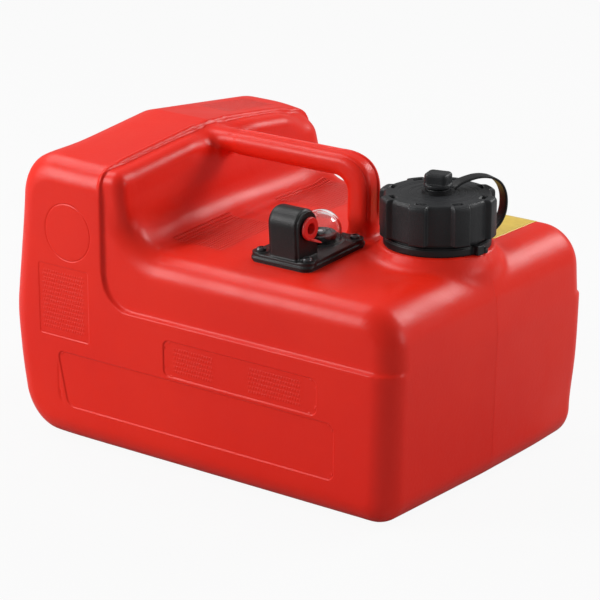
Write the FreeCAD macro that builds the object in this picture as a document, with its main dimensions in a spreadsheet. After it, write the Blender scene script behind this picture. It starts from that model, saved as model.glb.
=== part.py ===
"""Portable outboard fuel tank: blow-moulded tank, vented screw cap with tether, fuel fitting with gauge.

Frame: millimetres, origin under the middle of the tank on the floor it rests on, +Z up,
+X towards the filler cap, the mould's parting plane at Y = 0.
"""
import FreeCAD, Part
import math
import os

import Sketcher

SIZES = {
    # tank
    "tank_length": 355.0,
    "tank_width": 250.0,
    "tank_wall": 3.5,
    "floor_trim": 0.4,
    "side_round": 19.0,
    "floor_round": 34.0,
    "cap_floor_round": 20.5,
    "end_lean": 7.0,
    "cap_end_lean": 3.0,
    "end_fall": 2.0,
    "waist_round": 120.0,
    "floor_panel_length": 230.0,
    "floor_panel_width": 130.0,
    "floor_panel_round": 20.0,
    "floor_panel_depth": 3.0,
    # deck and tower
    "deck_height": 163.0,
    "front_fall": 7.0,
    "rear_fall": 0.5,
    "deck_end_round": 30.0,
    "deck_end_lean": 3.0,
    "tower_height": 226.5,
    "tower_fall": 13.0,
    "tower_length": 114.5,
    "tower_end_round": 36.0,
    "tower_end_lean": 15.0,
    "tower_lip_round": 20.5,
    "tower_foot_round": 30.0,
    "tower_wall_lean": 9.0,
    # raised lower band
    "step_depth": 3.0,
    "ledge_height": 112.0,
    "ledge_bend": 26.0,
    "shoulder_length": 95.5,
    "end_recess_length": 10.5,
    "end_recess_height": 134.0,
    "end_recess_round": 12.0,
    "end_waist": 95.0,
    # shallow panels on the sides
    "side_panel_length": 254.0,
    "side_panel_height": 42.0,
    "side_panel_bottom": 28.0,
    "side_panel_middle": 0.0,
    "side_panel_round": 9.0,
    "side_panel_depth": 1.2,
    "name_panel_length": 137.0,
    "name_panel_height": 27.0,
    "name_panel_bottom": 72.5,
    "name_panel_middle": 43.5,
    # handle
    "handle_top": 223.0,
    "handle_thick": 17.0,
    "handle_width": 22.0,
    "handle_round": 7.0,
    "handle_bend": 29.0,
    "grip_bend": 12.0,
    "handle_buried": 24.0,
    "post_inner": 50.5,
    "post_thick": 20.0,
    "post_flare": 12.0,
    "post_foot": 10.0,
    # filler neck
    "cap_place": 125.0,
    "platform_radius": 41.0,
    "platform_flare": 6.0,
    "platform_foot": 10.0,
    "platform_top": 170.0,
    "platform_depth": 24.0,
    "neck_radius": 33.0,
    "neck_top": 201.0,
    "bore_radius": 28.5,
    # filler cap
    "cap_radius": 42.5,
    "cap_bottom": 178.5,
    "cap_top_thick": 3.2,
    "cap_inside_radius": 36.2,
    "cap_round": 2.2,
    "scallop_radius": 26.0,
    "scallop_depth": 2.9,
    "lobe_count": 8,
    "lobe_phase": 14.0,
    "slot_place": 32.5,
    "slot_width": 7.0,
    "slot_reach": 3.8,
    "slot_depth": 1.6,
    "gasket_thick": 2.8,
    "gasket_outside": 35.6,
    # vent
    "vent_boss_radius": 8.6,
    "vent_boss_rise": 3.0,
    "vent_boss_drop": 5.0,
    "stem_radius": 4.0,
    "stem_length": 10.0,
    "vent_seal_thick": 1.0,
    "vent_seal_radius": 6.6,
    "knob_width": 17.8,
    "knob_depth": 15.0,
    "knob_rise": 10.3,
    "knob_round": 2.4,
    "knob_flange_radius": 10.3,
    "knob_flange_thick": 2.5,
    "knob_corner": 3.8,
    # tether
    "neck_ring_outside": 38.5,
    "neck_ring_thick": 5.5,
    "tether_clasp_size": 6.0,
    "tether_clasp_rise": 1.2,
    "tether_tail_side": 6.6,
    "tether_tail_reach": 0.6,
    "tether_tail_thick": 3.2,
    "tether_clasp_angle": -10.0,
    "cap_ring_outside": 11.6,
    "cap_ring_thick": 2.0,
    "strap_width": 7.5,
    "strap_thick": 1.8,
    "strap_angle": 65.0,
    "strap_arch": 4.0,
    "strap_peak_place": 31.5,
    "strap_bend": 14.0,
    "strap_clear": 14.5,
    # fuel fitting
    "fitting_place": 49.0,
    "fitting_side": 50.5,
    "plate_length": 54.0,
    "plate_width": 72.0,
    "plate_round": 7.0,
    "plate_lip": 1.4,
    "lip_thick": 2.4,
    "plate_thick": 5.0,
    "fitting_seal_thick": 1.0,
    "screw_inset": 6.5,
    "screw_side_inset": 8.0,
    "screw_boss_radius": 6.4,
    "screw_boss_rise": 0.8,
    "screw_radius": 2.0,
    "screw_length": 17.0,
    "screw_head_radius": 3.6,
    "screw_head_rise": 2.3,
    "screw_head_round": 1.7,
    "cross_length": 4.0,
    "cross_width": 1.1,
    "cross_depth": 1.5,
    "screw_post_radius": 5.0,
    "screw_post_length": 9.0,
    "hood_width": 24.0,
    "hood_length": 25.5,
    "hood_back": 12.0,
    "hood_rise": 35.0,
    "hood_round": 11.6,
    "hood_back_round": 5.0,
    "hood_side": 20.5,
    "collar_step": 1.4,
    "collar_length": 2.5,
    "port_rise": 21.0,
    "port_radius": 6.6,
    "port_depth": 16.0,
    "passage_radius": 3.2,
    "plug_flange_radius": 9.2,
    "plug_flange_thick": 2.4,
    "plug_length": 9.0,
    "plug_hollow_radius": 5.0,
    "plug_hollow_depth": 9.0,
    "plug_tab_reach": 9.0,
    "plug_tab_width": 4.0,
    "plug_tab_thick": 1.2,
    # gauge
    "gauge_side": 14.5,
    "lens_radius": 15.5,
    "lens_rise": 21.5,
    "lens_wall": 1.6,
    "lens_crown_round": 14.1,
    "lens_rim_thick": 1.7,
    "lens_rim_rise": 1.2,
    "lens_seal_size": 0.75,
    "drum_radius": 11.5,
    "drum_thick": 7.0,
    "drum_socket": 5.5,
    "drum_round": 0.8,
    "notch_width": 1.8,
    "notch_reach": 3.0,
    "notch_depth": 4.5,
    "bush_radius": 3.6,
    "bush_flange_radius": 5.0,
    "bush_flange_thick": 1.0,
    "journal_radius": 1.8,
    "foot_journal_radius": 1.2,
    "foot_journal_length": 6.0,
    "journal_overlap": 3.0,
    "strip_width": 6.0,
    "strip_thick": 1.4,
    "strip_pitch": 180.0,
    "strip_drop": 9.0,
    "guide_depth": 150.0,
    "guide_flange_radius": 17.5,
    "guide_flange_thick": 3.2,
    "rail_place": 14.5,
    "rail_thick": 3.0,
    "rail_width": 5.0,
    "foot_radius": 16.5,
    "foot_thick": 3.0,
    "foot_boss_radius": 4.0,
    "foot_boss_rise": 3.0,
    "float_radius": 16.0,
    "float_length": 22.0,
    "float_bore_radius": 4.8,
    "float_key_thick": 2.0,
    "rail_play": 0.5,
    # fuel pickup
    "tube_radius": 4.5,
    "tube_wall": 1.2,
    "tube_socket": 8.0,
    "tube_depth": 142.0,
    "strainer_radius": 7.6,
    "strainer_length": 18.0,
    "strainer_wall": 1.2,
    "strainer_slot_width": 1.8,
    "strainer_slot_length": 9.0,
    "strainer_slots": 10,
    # sticker on the rear deck
    "label_length": 64.0,
    "label_width": 61.0,
    "label_end": 140.0,
    "label_side": 48.5,
    "label_thick": 0.3,
    "label_round": 3.0,
    # clearances
    "running_gap": 0.3,
    "seat_gap": 0.05,
}

AXIS_Z = FreeCAD.Vector(0, 0, 1)
TOUCH = 0.01


class Size:
    """A length together with the spreadsheet expression that gives it."""

    def __init__(self, value, text):
        self.value = float(value)
        self.text = text

    def __add__(self, other):
        other = as_size(other)
        return Size(self.value + other.value, f"({self.text} + {other.text})")

    def __radd__(self, other):
        return as_size(other) + self

    def __sub__(self, other):
        other = as_size(other)
        return Size(self.value - other.value, f"({self.text} - {other.text})")

    def __rsub__(self, other):
        return as_size(other) - self

    def __mul__(self, other):
        other = as_size(other)
        return Size(self.value * other.value, f"({self.text} * {other.text})")

    def __rmul__(self, other):
        return as_size(other) * self

    def __truediv__(self, other):
        other = as_size(other)
        return Size(self.value / other.value, f"({self.text} / {other.text})")

    def __rtruediv__(self, other):
        return as_size(other) / self

    def __neg__(self):
        return Size(-self.value, f"(0 - {self.text})")


def as_size(number):
    """A Size from a Size or a plain number."""
    if isinstance(number, Size):
        return number
    return Size(number, f"{number:g}")


def size(alias):
    """The named size from the spreadsheet."""
    return Size(SIZES[alias], f"Sizes.{alias}")


def slope_angle(rise, run):
    """Angle in degrees of a slope, as a Size."""
    angle = math.degrees(math.atan2(rise.value, run.value))
    return Size(angle, f"atan({rise.text} / {run.text})")


# ---------------------------------------------------------------- helpers


def make_sheet(doc):
    """Spreadsheet that holds every driving size under its own alias."""
    sheet = doc.addObject("Spreadsheet::Sheet", "Sizes")
    for row, (alias, value) in enumerate(SIZES.items(), start=1):
        sheet.set(f"A{row}", alias)
        sheet.set(f"B{row}", str(value))
        sheet.setAlias(f"B{row}", alias)
    doc.recompute()


def place(obj, x=0.0, y=0.0, z=0.0, turn=None, axis="z"):
    """Bind an object's position, and its turn about one axis, to sizes."""
    if turn is not None:
        directions = {"x": (1, 0, 0), "y": (0, 1, 0), "z": (0, 0, 1)}
        rotation = FreeCAD.Rotation(FreeCAD.Vector(*directions[axis]), turn.value)
        obj.Placement = FreeCAD.Placement(FreeCAD.Vector(), rotation)
        obj.setExpression("Placement.Rotation.Angle", turn.text)
    for letter, distance in zip("xyz", (x, y, z)):
        obj.setExpression(f"Placement.Base.{letter}", as_size(distance).text)


def box(doc, name, low, high):
    """Box between two corners given as sizes."""
    solid = doc.addObject("Part::Box", name)
    for prop, near, far in zip(("Length", "Width", "Height"), low, high):
        solid.setExpression(prop, (far - near).text)
    place(solid, *low)
    return solid


def cylinder(doc, name, radius, bottom, top, x=0.0, y=0.0):
    """Upright cylinder from one height to another."""
    solid = doc.addObject("Part::Cylinder", name)
    solid.setExpression("Radius", as_size(radius).text)
    solid.setExpression("Height", (top - bottom).text)
    place(solid, x, y, bottom)
    return solid


def cylinder_along_x(doc, name, radius, start, end, y, z):
    """Cylinder lying along +X."""
    solid = doc.addObject("Part::Cylinder", name)
    solid.setExpression("Radius", as_size(radius).text)
    solid.setExpression("Height", (end - start).text)
    place(solid, start, y, z, turn=as_size(90), axis="y")
    return solid


def fuse(doc, name, shapes):
    """Union of several solids."""
    union = doc.addObject("Part::MultiFuse", name)
    union.Shapes = shapes
    union.Refine = True
    return union


def common(doc, name, shapes):
    """Overlap of several solids."""
    overlap = doc.addObject("Part::MultiCommon", name)
    overlap.Shapes = shapes
    overlap.Refine = True
    return overlap


def cut(doc, name, base, tools):
    """A solid less one or more tools."""
    tool = tools[0] if len(tools) == 1 else fuse(doc, name + "_tools", tools)
    rest = doc.addObject("Part::Cut", name)
    rest.Base = base
    rest.Tool = tool
    rest.Refine = True
    return rest


def origin_plane(body, role):
    """One of a body's own origin planes."""
    return next(item for item in body.Origin.OriginFeatures if item.Role == role)


def add_sketch(body, name, plane, offset=None):
    """Sketch on a body's origin plane, moved along the plane's normal by a size."""
    sketch = body.newObject("Sketcher::SketchObject", name)
    sketch.AttachmentSupport = [(origin_plane(body, plane), "")]
    sketch.MapMode = "FlatFace"
    if offset is not None:
        sketch.setExpression("AttachmentOffset.Base.z", offset.text)
    return sketch


def pin_point(sketch, geometry, position, x, y):
    """Fix a sketch point at sizes measured from the sketch's origin."""
    for kind, distance in (("DistanceX", x), ("DistanceY", y)):
        index = sketch.addConstraint(
            Sketcher.Constraint(kind, -1, 1, geometry, position, distance.value))
        sketch.setExpression(f"Constraints[{index}]", distance.text)


def outline(sketch, corners, closed=True):
    """Draw straight runs through corners (x, y, radius) and round those that have a radius."""
    count = len(corners)
    corners = [(as_size(x), as_size(y), radius) for x, y, radius in corners]
    spots = [FreeCAD.Vector(x.value, y.value, 0) for x, y, _ in corners]
    entries = list(spots)
    exits = list(spots)
    arcs = {}
    for k, (_, _, radius) in enumerate(corners):
        if radius is None:
            continue
        to_last = (spots[k - 1] - spots[k]).normalize()
        to_next = (spots[(k + 1) % count] - spots[k]).normalize()
        half = to_last.getAngle(to_next) / 2
        reach = radius.value / math.tan(half)
        entries[k] = spots[k] + to_last * reach
        exits[k] = spots[k] + to_next * reach
        centre = spots[k] + (to_last + to_next).normalize() * (radius.value / math.sin(half))
        turns_left = to_next.cross(to_last).z > 0
        first, last = (entries[k], exits[k]) if turns_left else (exits[k], entries[k])
        start, end = (math.atan2(p.y - centre.y, p.x - centre.x) for p in (first, last))
        circle = Part.Circle(centre, AXIS_Z, radius.value)
        arc = sketch.addGeometry(Part.ArcOfCircle(circle, start, end), False)
        arcs[k] = (arc, 1 if turns_left else 2, 2 if turns_left else 1)
    runs = count if closed else count - 1
    lines = [
        sketch.addGeometry(Part.LineSegment(exits[k], entries[(k + 1) % count]), False)
        for k in range(runs)
    ]
    for k, (x, y, radius) in enumerate(corners):
        before = lines[k - 1] if closed or k > 0 else None
        after = lines[k] if k < runs else None
        if radius is not None:
            arc, entry_end, exit_end = arcs[k]
            sketch.addConstraint(Sketcher.Constraint("Tangent", before, 2, arc, entry_end))
            sketch.addConstraint(Sketcher.Constraint("Tangent", arc, exit_end, after, 1))
            index = sketch.addConstraint(Sketcher.Constraint("Radius", arc, radius.value))
            sketch.setExpression(f"Constraints[{index}]", radius.text)
            corner = sketch.addGeometry(Part.Point(spots[k]), True)
            sketch.addConstraint(Sketcher.Constraint("PointOnObject", corner, 1, before))
            sketch.addConstraint(Sketcher.Constraint("PointOnObject", corner, 1, after))
            pin_point(sketch, corner, 1, x, y)
        elif before is not None and after is not None:
            sketch.addConstraint(Sketcher.Constraint("Coincident", before, 2, after, 1))
            pin_point(sketch, after, 1, x, y)
        else:
            line, end = (after, 1) if after is not None else (before, 2)
            pin_point(sketch, line, end, x, y)


def circle_outline(sketch, radius, x=0.0, y=0.0):
    """Circle of a given size and place."""
    x, y, radius = as_size(x), as_size(y), as_size(radius)
    centre = FreeCAD.Vector(x.value, y.value, 0)
    ring = sketch.addGeometry(Part.Circle(centre, AXIS_Z, radius.value), False)
    index = sketch.addConstraint(Sketcher.Constraint("Radius", ring, radius.value))
    sketch.setExpression(f"Constraints[{index}]", radius.text)
    pin_point(sketch, ring, 3, x, y)


def rectangle(sketch, low_x, high_x, low_y, high_y, radius=None):
    """Rectangle with equal corner radii."""
    outline(sketch, [(low_x, low_y, radius), (high_x, low_y, radius),
                     (high_x, high_y, radius), (low_x, high_y, radius)])


def pad(body, sketch, length, both_ways=False):
    """Pad a sketch, on one side or equally on both."""
    feature = body.newObject("PartDesign::Pad", sketch.Name + "_pad")
    feature.Profile = sketch
    feature.setExpression("Length", as_size(length).text)
    feature.Midplane = both_ways
    return feature


def pocket(body, sketch, depth, reverse=False):
    """Cut a sketch into a body."""
    feature = body.newObject("PartDesign::Pocket", sketch.Name + "_pocket")
    feature.Profile = sketch
    feature.setExpression("Length", as_size(depth).text)
    feature.Reversed = reverse
    return feature


def repeat_round(body, feature, count):
    """Repeat a feature round the body's upright axis."""
    pattern = body.newObject("PartDesign::PolarPattern", feature.Name + "_ring")
    pattern.Originals = [feature]
    pattern.Axis = (origin_plane(body, "Z_Axis"), [""])
    pattern.Angle = 360
    pattern.Occurrences = int(count.value)
    body.Tip = pattern
    return pattern


def round_faces(doc, body, feature, chosen, radius):
    """Round every edge of the faces that a test picks out."""
    doc.recompute()
    names = [f"Face{i}" for i, face in enumerate(feature.Shape.Faces, start=1) if chosen(face)]
    fillet = body.newObject("PartDesign::Fillet", feature.Name + "_round")
    fillet.Base = (feature, names)
    fillet.setExpression("Radius", radius.text)
    body.Tip = fillet
    return fillet


def round_edges(doc, body, feature, chosen, radius):
    """Round the edges that a test picks out."""
    doc.recompute()
    names = [f"Edge{i}" for i, edge in enumerate(feature.Shape.Edges, start=1) if chosen(edge)]
    fillet = body.newObject("PartDesign::Fillet", feature.Name + "_round")
    fillet.Base = (feature, names)
    fillet.setExpression("Radius", radius.text)
    body.Tip = fillet
    return fillet


def faces_sideways(face):
    """Whether a face is flat and looks along Y."""
    return isinstance(face.Surface, Part.Plane) and abs(face.normalAt(0, 0).y) > 0.999


def new_body(doc, name):
    """Empty body with its own label."""
    return doc.addObject("PartDesign::Body", name)


def turned(doc, name, corners):
    """Solid of revolution about Z from an outline of (radius, height, rounding) corners."""
    body = new_body(doc, name)
    sketch = add_sketch(body, name + "_section", "XZ_Plane")
    outline(sketch, corners)
    revolve = body.newObject("PartDesign::Revolution", name + "_turn")
    revolve.Profile = sketch
    revolve.ReferenceAxis = (sketch, ["V_Axis"])
    revolve.Angle = 360
    return body


def plate(doc, name, length, width, radius, bottom, thick):
    """Flat plate with rounded corners, centred on the origin."""
    body = new_body(doc, name)
    sketch = add_sketch(body, name + "_plan", "XY_Plane", bottom)
    rectangle(sketch, -(length / 2), length / 2, -(width / 2), width / 2, radius)
    pad(body, sketch, thick)
    return body


# ---------------------------------------------------------------- tank


def tank_form(doc, name, inset, step=0.0):
    """The tank's form for a wall inset, set back by a step on every side but the cap's end."""
    back = inset + step
    half_length = size("tank_length") / 2 - back
    half_width = size("tank_width") / 2 - back
    reach = half_width / (size("tank_width") / 2)
    deck = size("deck_height") + size("step_depth") - back
    tower = size("tower_height") - back
    floor_z = back - size("floor_trim")
    wall_x = size("tower_length") + size("step_depth") - back - size("tank_length") / 2
    falls = {
        "rear": (-half_width, size("rear_fall"), reach),
        "middle": (None, as_size(0), as_size(0)),
        "front": (half_width, size("front_fall"), reach),
    }
    body = new_body(doc, name)
    sections = []
    for side, (offset, deck_fall, share) in falls.items():
        end_x = half_length - size("end_fall") * share
        cap_end_x = end_x + step
        deck_z = deck - deck_fall * share
        tower_z = tower - size("tower_fall") * share
        sketch = add_sketch(body, f"{name}_{side}", "XZ_Plane", offset)
        outline(sketch, [
            (size("end_lean") - end_x, floor_z, size("floor_round") - inset),
            (cap_end_x - size("cap_end_lean"), floor_z, size("cap_floor_round") - inset),
            (cap_end_x, size("ledge_height"), size("waist_round")),
            (cap_end_x - size("deck_end_lean"), deck_z, size("deck_end_round") - inset),
            (wall_x + size("tower_wall_lean") / 2, deck_z, size("tower_foot_round") + inset),
            (wall_x - size("tower_wall_lean") / 2, tower_z, size("tower_lip_round") - inset),
            (size("tower_end_lean") - end_x, tower_z, size("tower_end_round") - inset),
            (-end_x, size("end_waist"), size("waist_round")),
        ])
        sections.append(sketch)
    loft = body.newObject("PartDesign::AdditiveLoft", name + "_loft")
    loft.Profile = sections[0]
    loft.Sections = sections[1:]
    loft.Ruled = True
    round_faces(doc, body, loft, faces_sideways, size("side_round") - inset)
    return body


def raised_band(doc, name, inset):
    """Space of the raised lower band and shoulder, seen from the side."""
    beyond = size("tank_width")
    half_length = size("tank_length") / 2
    shoulder_x = size("shoulder_length") - inset - half_length
    recess_x = size("end_recess_length") + inset - half_length
    ledge_z = size("ledge_height") - inset
    recess_z = size("end_recess_height") - inset
    top_z = size("tower_height") + beyond
    body = new_body(doc, name)
    sketch = add_sketch(body, name + "_side", "XZ_Plane")
    outline(sketch, [
        (-half_length - beyond, -beyond, None),
        (half_length + beyond, -beyond, None),
        (half_length + beyond, ledge_z, None),
        (shoulder_x, ledge_z, size("ledge_bend") + inset),
        (shoulder_x, top_z, None),
        (recess_x, top_z, None),
        (recess_x, recess_z, size("end_recess_round") + inset),
        (-half_length - beyond, recess_z, None),
    ])
    pad(body, sketch, beyond * 2, both_ways=True)
    return body


def handle_form(doc, name, inset):
    """Handle from the tower to its post on the deck, drawn smaller by an inset."""
    start_x = size("tower_length") - size("tank_length") / 2 - size("handle_buried")
    inner_x = size("post_inner") + inset
    outer_x = size("post_inner") + size("post_thick") - inset
    top_z = size("handle_top") - inset
    under_z = size("handle_top") - size("handle_thick") + inset
    deck_z = size("deck_height")
    foot_z = deck_z - size("post_foot")
    flare = size("post_flare")
    body = new_body(doc, name)
    sketch = add_sketch(body, name + "_side", "XZ_Plane")
    outline(sketch, [
        (start_x, under_z, None),
        (inner_x, under_z, size("grip_bend") + inset),
        (inner_x, deck_z, flare),
        (inner_x - flare, foot_z, flare),
        (inner_x - flare, foot_z - flare, None),
        (outer_x + flare, foot_z - flare, None),
        (outer_x + flare, foot_z, flare),
        (outer_x, deck_z, flare),
        (outer_x, top_z, size("handle_bend") - inset),
        (start_x, top_z, None),
    ])
    bar = pad(body, sketch, size("handle_width") - 2 * inset, both_ways=True)

    def is_outer_edge(edge):
        bounds = edge.BoundBox
        along_side = bounds.YLength < TOUCH
        at_foot = bounds.ZLength < TOUCH and bounds.ZMax < foot_z.value
        buried_end = at_foot or bounds.XMax < start_x.value + TOUCH
        return along_side and not buried_end

    round_edges(doc, body, bar, is_outer_edge, size("handle_round") - inset)
    return body


def stepped_form(doc, name, inset):
    """Tank form with its raised band, and the handle, drawn smaller by an inset."""
    full = tank_form(doc, name + "_full", inset)
    band = common(doc, name + "_band", [full, raised_band(doc, name + "_band_space", inset)])
    upper = tank_form(doc, name + "_upper", inset, size("step_depth"))
    handle = handle_form(doc, name + "_handle", inset)
    return fuse(doc, name, [band, upper, handle])


def floor_panel(doc, name, grow):
    """Shallow panel that is raised into the floor, so that the tank stands on its rim."""
    body = new_body(doc, name)
    sketch = add_sketch(body, name + "_plan", "XY_Plane", -size("floor_panel_depth"))
    half_length = size("floor_panel_length") / 2 + grow
    half_width = size("floor_panel_width") / 2 + grow
    rectangle(sketch, -half_length, half_length, -half_width, half_width,
              size("floor_panel_round") + grow)
    pad(body, sketch, size("floor_panel_depth") * 2 + grow)
    return body


def ground(doc):
    """Space under the floor, which trims the floor's rim flat."""
    length = size("tank_length")
    width = size("tank_width")
    return box(doc, "ground", (-length, -width, -size("floor_round")), (length, width, as_size(0)))


def side_panel(doc, name, side, alias):
    """Cutter for a shallow sunk panel on one long side."""
    body = new_body(doc, name)
    depth = size("side_panel_depth")
    face = size("tank_width") / 2 - depth
    sketch = add_sketch(body, name + "_plan", "XZ_Plane", face if side < 0 else -face)
    middle = size(alias + "_middle")
    half_length = size(alias + "_length") / 2
    bottom = size(alias + "_bottom")
    rectangle(sketch, middle - half_length, middle + half_length,
              bottom, bottom + size(alias + "_height"), size("side_panel_round"))
    feature = pad(body, sketch, depth * 4)
    feature.Reversed = side > 0
    return body


def fitting_frame(obj):
    """Seat an object that was built flat on the sloping front half of the deck."""
    half_width = size("tank_width") / 2
    height = size("deck_height") - size("front_fall") * size("fitting_side") / half_width
    place(obj, size("fitting_place"), -size("fitting_side"), height,
          turn=slope_angle(size("front_fall"), half_width), axis="x")
    return obj


def screw_spots():
    """The four screw places on the fitting's plate."""
    along = size("plate_length") / 2 - size("screw_inset")
    across = size("plate_width") / 2 - size("screw_side_inset")
    return [(along, across), (-along, across), (-along, -across), (along, -across)]


def fitting_holes(doc, name, gap):
    """Openings under the fitting for the float assembly and the pickup, wider by a gap."""
    deep = size("plate_width")
    gauge = cylinder(doc, name + "_gauge", size("guide_flange_radius") + gap, -deep / 4, deep / 4,
                     0.0, size("gauge_side"))
    pickup = cylinder(doc, name + "_pickup", size("strainer_radius") + gap, -deep / 4, deep / 4,
                      0.0, -size("hood_side"))
    return fuse(doc, name, [gauge, pickup])


def neck_platform(doc):
    """Raised seat round the filler neck, flared towards the deck."""
    top = size("platform_top")
    low = top - size("platform_depth")
    foot = size("platform_radius") + size("platform_flare")
    return on_cap_axis(turned(doc, "neck_platform", [
        (as_size(0), low, None),
        (foot, low, None),
        (foot, top - size("platform_foot"), None),
        (size("platform_radius"), top, None),
        (as_size(0), top, None),
    ]))


def tank_body(doc):
    """Blow-moulded shell with the handle, filler neck and screw posts."""
    wall = size("tank_wall")
    axis_x = size("cap_place")
    outer = stepped_form(doc, "outer_form", as_size(0))
    platform = neck_platform(doc)
    neck = cylinder(doc, "neck_tube", size("neck_radius"),
                    size("platform_top") - size("platform_depth"), size("neck_top"), axis_x)
    whole = fuse(doc, "outer_whole", [outer, platform, neck])
    inner = stepped_form(doc, "inner_form", wall)
    inner_rest = cut(doc, "inner_rest", inner, [floor_panel(doc, "inner_floor_panel", wall)])
    bore = cylinder(doc, "neck_bore", size("bore_radius"),
                    size("platform_top") - size("platform_depth") * 2, size("neck_top") + wall, axis_x)
    hollow = fuse(doc, "hollow", [inner_rest, bore])
    shell = cut(doc, "shell", whole, [hollow])
    posts = []
    holes = []
    for k, (x, y) in enumerate(screw_spots()):
        posts.append(cylinder(doc, f"screw_post_{k}", size("screw_post_radius"),
                              -(size("screw_post_length") + wall), -(wall / 2), x, y))
        holes.append(cylinder(doc, f"screw_hole_{k}", size("screw_radius") + size("seat_gap"),
                              -size("screw_length"), wall, x, y))
    post_set = fitting_frame(fuse(doc, "screw_posts", posts))
    hole_set = fitting_frame(fuse(doc, "screw_holes", holes))
    openings = fitting_frame(fitting_holes(doc, "deck_openings", size("running_gap") * 4))
    panels = [
        side_panel(doc, "front_panel_cut", -1, "side_panel"),
        side_panel(doc, "rear_panel_cut", 1, "side_panel"),
        side_panel(doc, "front_name_cut", -1, "name_panel"),
        side_panel(doc, "rear_name_cut", 1, "name_panel"),
    ]
    posted = fuse(doc, "shell_with_posts", [shell, post_set])
    return cut(doc, "tank_body", posted,
               [hole_set, openings, floor_panel(doc, "floor_panel", as_size(0)), ground(doc)] + panels)


# ---------------------------------------------------------------- cap, vent and tether


def cap_top():
    """Height of the cap's top face."""
    return size("neck_top") + size("gasket_thick") + size("cap_top_thick")


def on_cap_axis(obj):
    """Move an object that was built about the origin onto the filler neck's axis."""
    place(obj, size("cap_place"))
    return obj


def filler_cap(doc):
    """Screw cap with eight grip lobes, a slot over each and the threaded vent boss."""
    ceiling = size("neck_top") + size("gasket_thick")
    hole = size("stem_radius") + size("seat_gap")
    boss = size("vent_boss_radius")
    skirt = size("cap_inside_radius")
    body = turned(doc, "filler_cap", [
        (hole, ceiling - size("vent_boss_drop"), None),
        (boss, ceiling - size("vent_boss_drop"), None),
        (boss, ceiling, None),
        (skirt, ceiling, None),
        (skirt, size("cap_bottom"), None),
        (size("cap_radius"), size("cap_bottom"), None),
        (size("cap_radius"), cap_top(), size("cap_round")),
        (boss, cap_top(), None),
        (boss, cap_top() + size("vent_boss_rise"), None),
        (hole, cap_top() + size("vent_boss_rise"), None),
    ])
    scallop = add_sketch(body, "scallop", "XY_Plane", size("cap_bottom") - size("running_gap"))
    circle_outline(scallop, size("scallop_radius"),
                   size("cap_radius") - size("scallop_depth") + size("scallop_radius"), 0.0)
    scallop_cut = pocket(body, scallop, cap_top() - size("cap_bottom") + size("cap_round"), reverse=True)
    repeat_round(body, scallop_cut, size("lobe_count"))
    slot = add_sketch(body, "slot", "XY_Plane", cap_top())
    slot.setExpression("AttachmentOffset.Rotation.Angle", (180 / size("lobe_count")).text)
    half = size("slot_width") / 2
    rectangle(slot, size("slot_place") - size("slot_reach") / 2,
              size("slot_place") + size("slot_reach") / 2, -half, half)
    slot_cut = pocket(body, slot, size("slot_depth"))
    repeat_round(body, slot_cut, size("lobe_count"))
    place(body, size("cap_place"), 0.0, 0.0,
          turn=size("lobe_phase") - 180 / size("lobe_count"), axis="z")
    return body


def cap_gasket(doc):
    """Flat ring between the neck's rim and the cap."""
    bottom = size("neck_top")
    top = bottom + size("gasket_thick")
    return on_cap_axis(turned(doc, "cap_gasket", [
        (size("bore_radius"), bottom, None),
        (size("gasket_outside"), bottom, None),
        (size("gasket_outside"), top, None),
        (size("bore_radius"), top, None),
    ]))


def vent_seal(doc):
    """Washer that the vent knob presses on the boss."""
    bottom = cap_top() + size("vent_boss_rise")
    top = bottom + size("vent_seal_thick")
    inside = size("stem_radius") + size("seat_gap")
    return on_cap_axis(turned(doc, "vent_seal", [
        (inside, bottom, None),
        (size("vent_seal_radius"), bottom, None),
        (size("vent_seal_radius"), top, None),
        (inside, top, None),
    ]))


def vent_knob(doc):
    """Square-shouldered thumb knob with a round flange, on its threaded stem."""
    bottom = cap_top() + size("vent_boss_rise") + size("vent_seal_thick")
    body = new_body(doc, "vent_knob")
    sketch = add_sketch(body, "knob_plan", "XY_Plane", bottom)
    half_width = size("knob_width") / 2
    half_depth = size("knob_depth") / 2
    rectangle(sketch, -half_width, half_width, -half_depth, half_depth, size("knob_corner"))
    block = pad(body, sketch, size("knob_rise"))
    top_z = (bottom + size("knob_rise")).value
    round_edges(doc, body, block, lambda edge: edge.BoundBox.ZMin > top_z - TOUCH, size("knob_round"))
    flange = add_sketch(body, "knob_flange", "XY_Plane", bottom)
    circle_outline(flange, size("knob_flange_radius"))
    pad(body, flange, size("knob_flange_thick"))
    stem = add_sketch(body, "stem_plan", "XY_Plane", bottom)
    circle_outline(stem, size("stem_radius"))
    shaft = pad(body, stem, size("stem_length"))
    shaft.Reversed = True
    place(body, size("cap_place"), 0.0, 0.0,
          turn=size("lobe_phase"), axis="z")
    return body


def tether_neck_ring(doc):
    """Ring of the tether round the neck, with its clasp."""
    bottom = size("platform_top")
    top = bottom + size("neck_ring_thick")
    inside = size("neck_radius") + size("running_gap")
    ring = turned(doc, "neck_ring_loop", [
        (inside, bottom, None),
        (size("neck_ring_outside"), bottom, None),
        (size("neck_ring_outside"), top, size("strap_thick") / 2),
        (inside, top, None),
    ])
    clasp = size("tether_clasp_size")
    inner = size("neck_ring_outside") - size("strap_thick")
    grip = box(doc, "neck_ring_clasp", (inner, -(clasp / 2), bottom),
               (inner + clasp, clasp / 2, top + size("tether_clasp_rise")))
    turned_grip = fuse(doc, "neck_ring_grip", [grip, tail_of_clasp(doc, bottom)])
    place(turned_grip, turn=size("tether_clasp_angle"), axis="z")
    return on_cap_axis(fuse(doc, "tether_neck_ring", [ring, turned_grip]))


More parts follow.
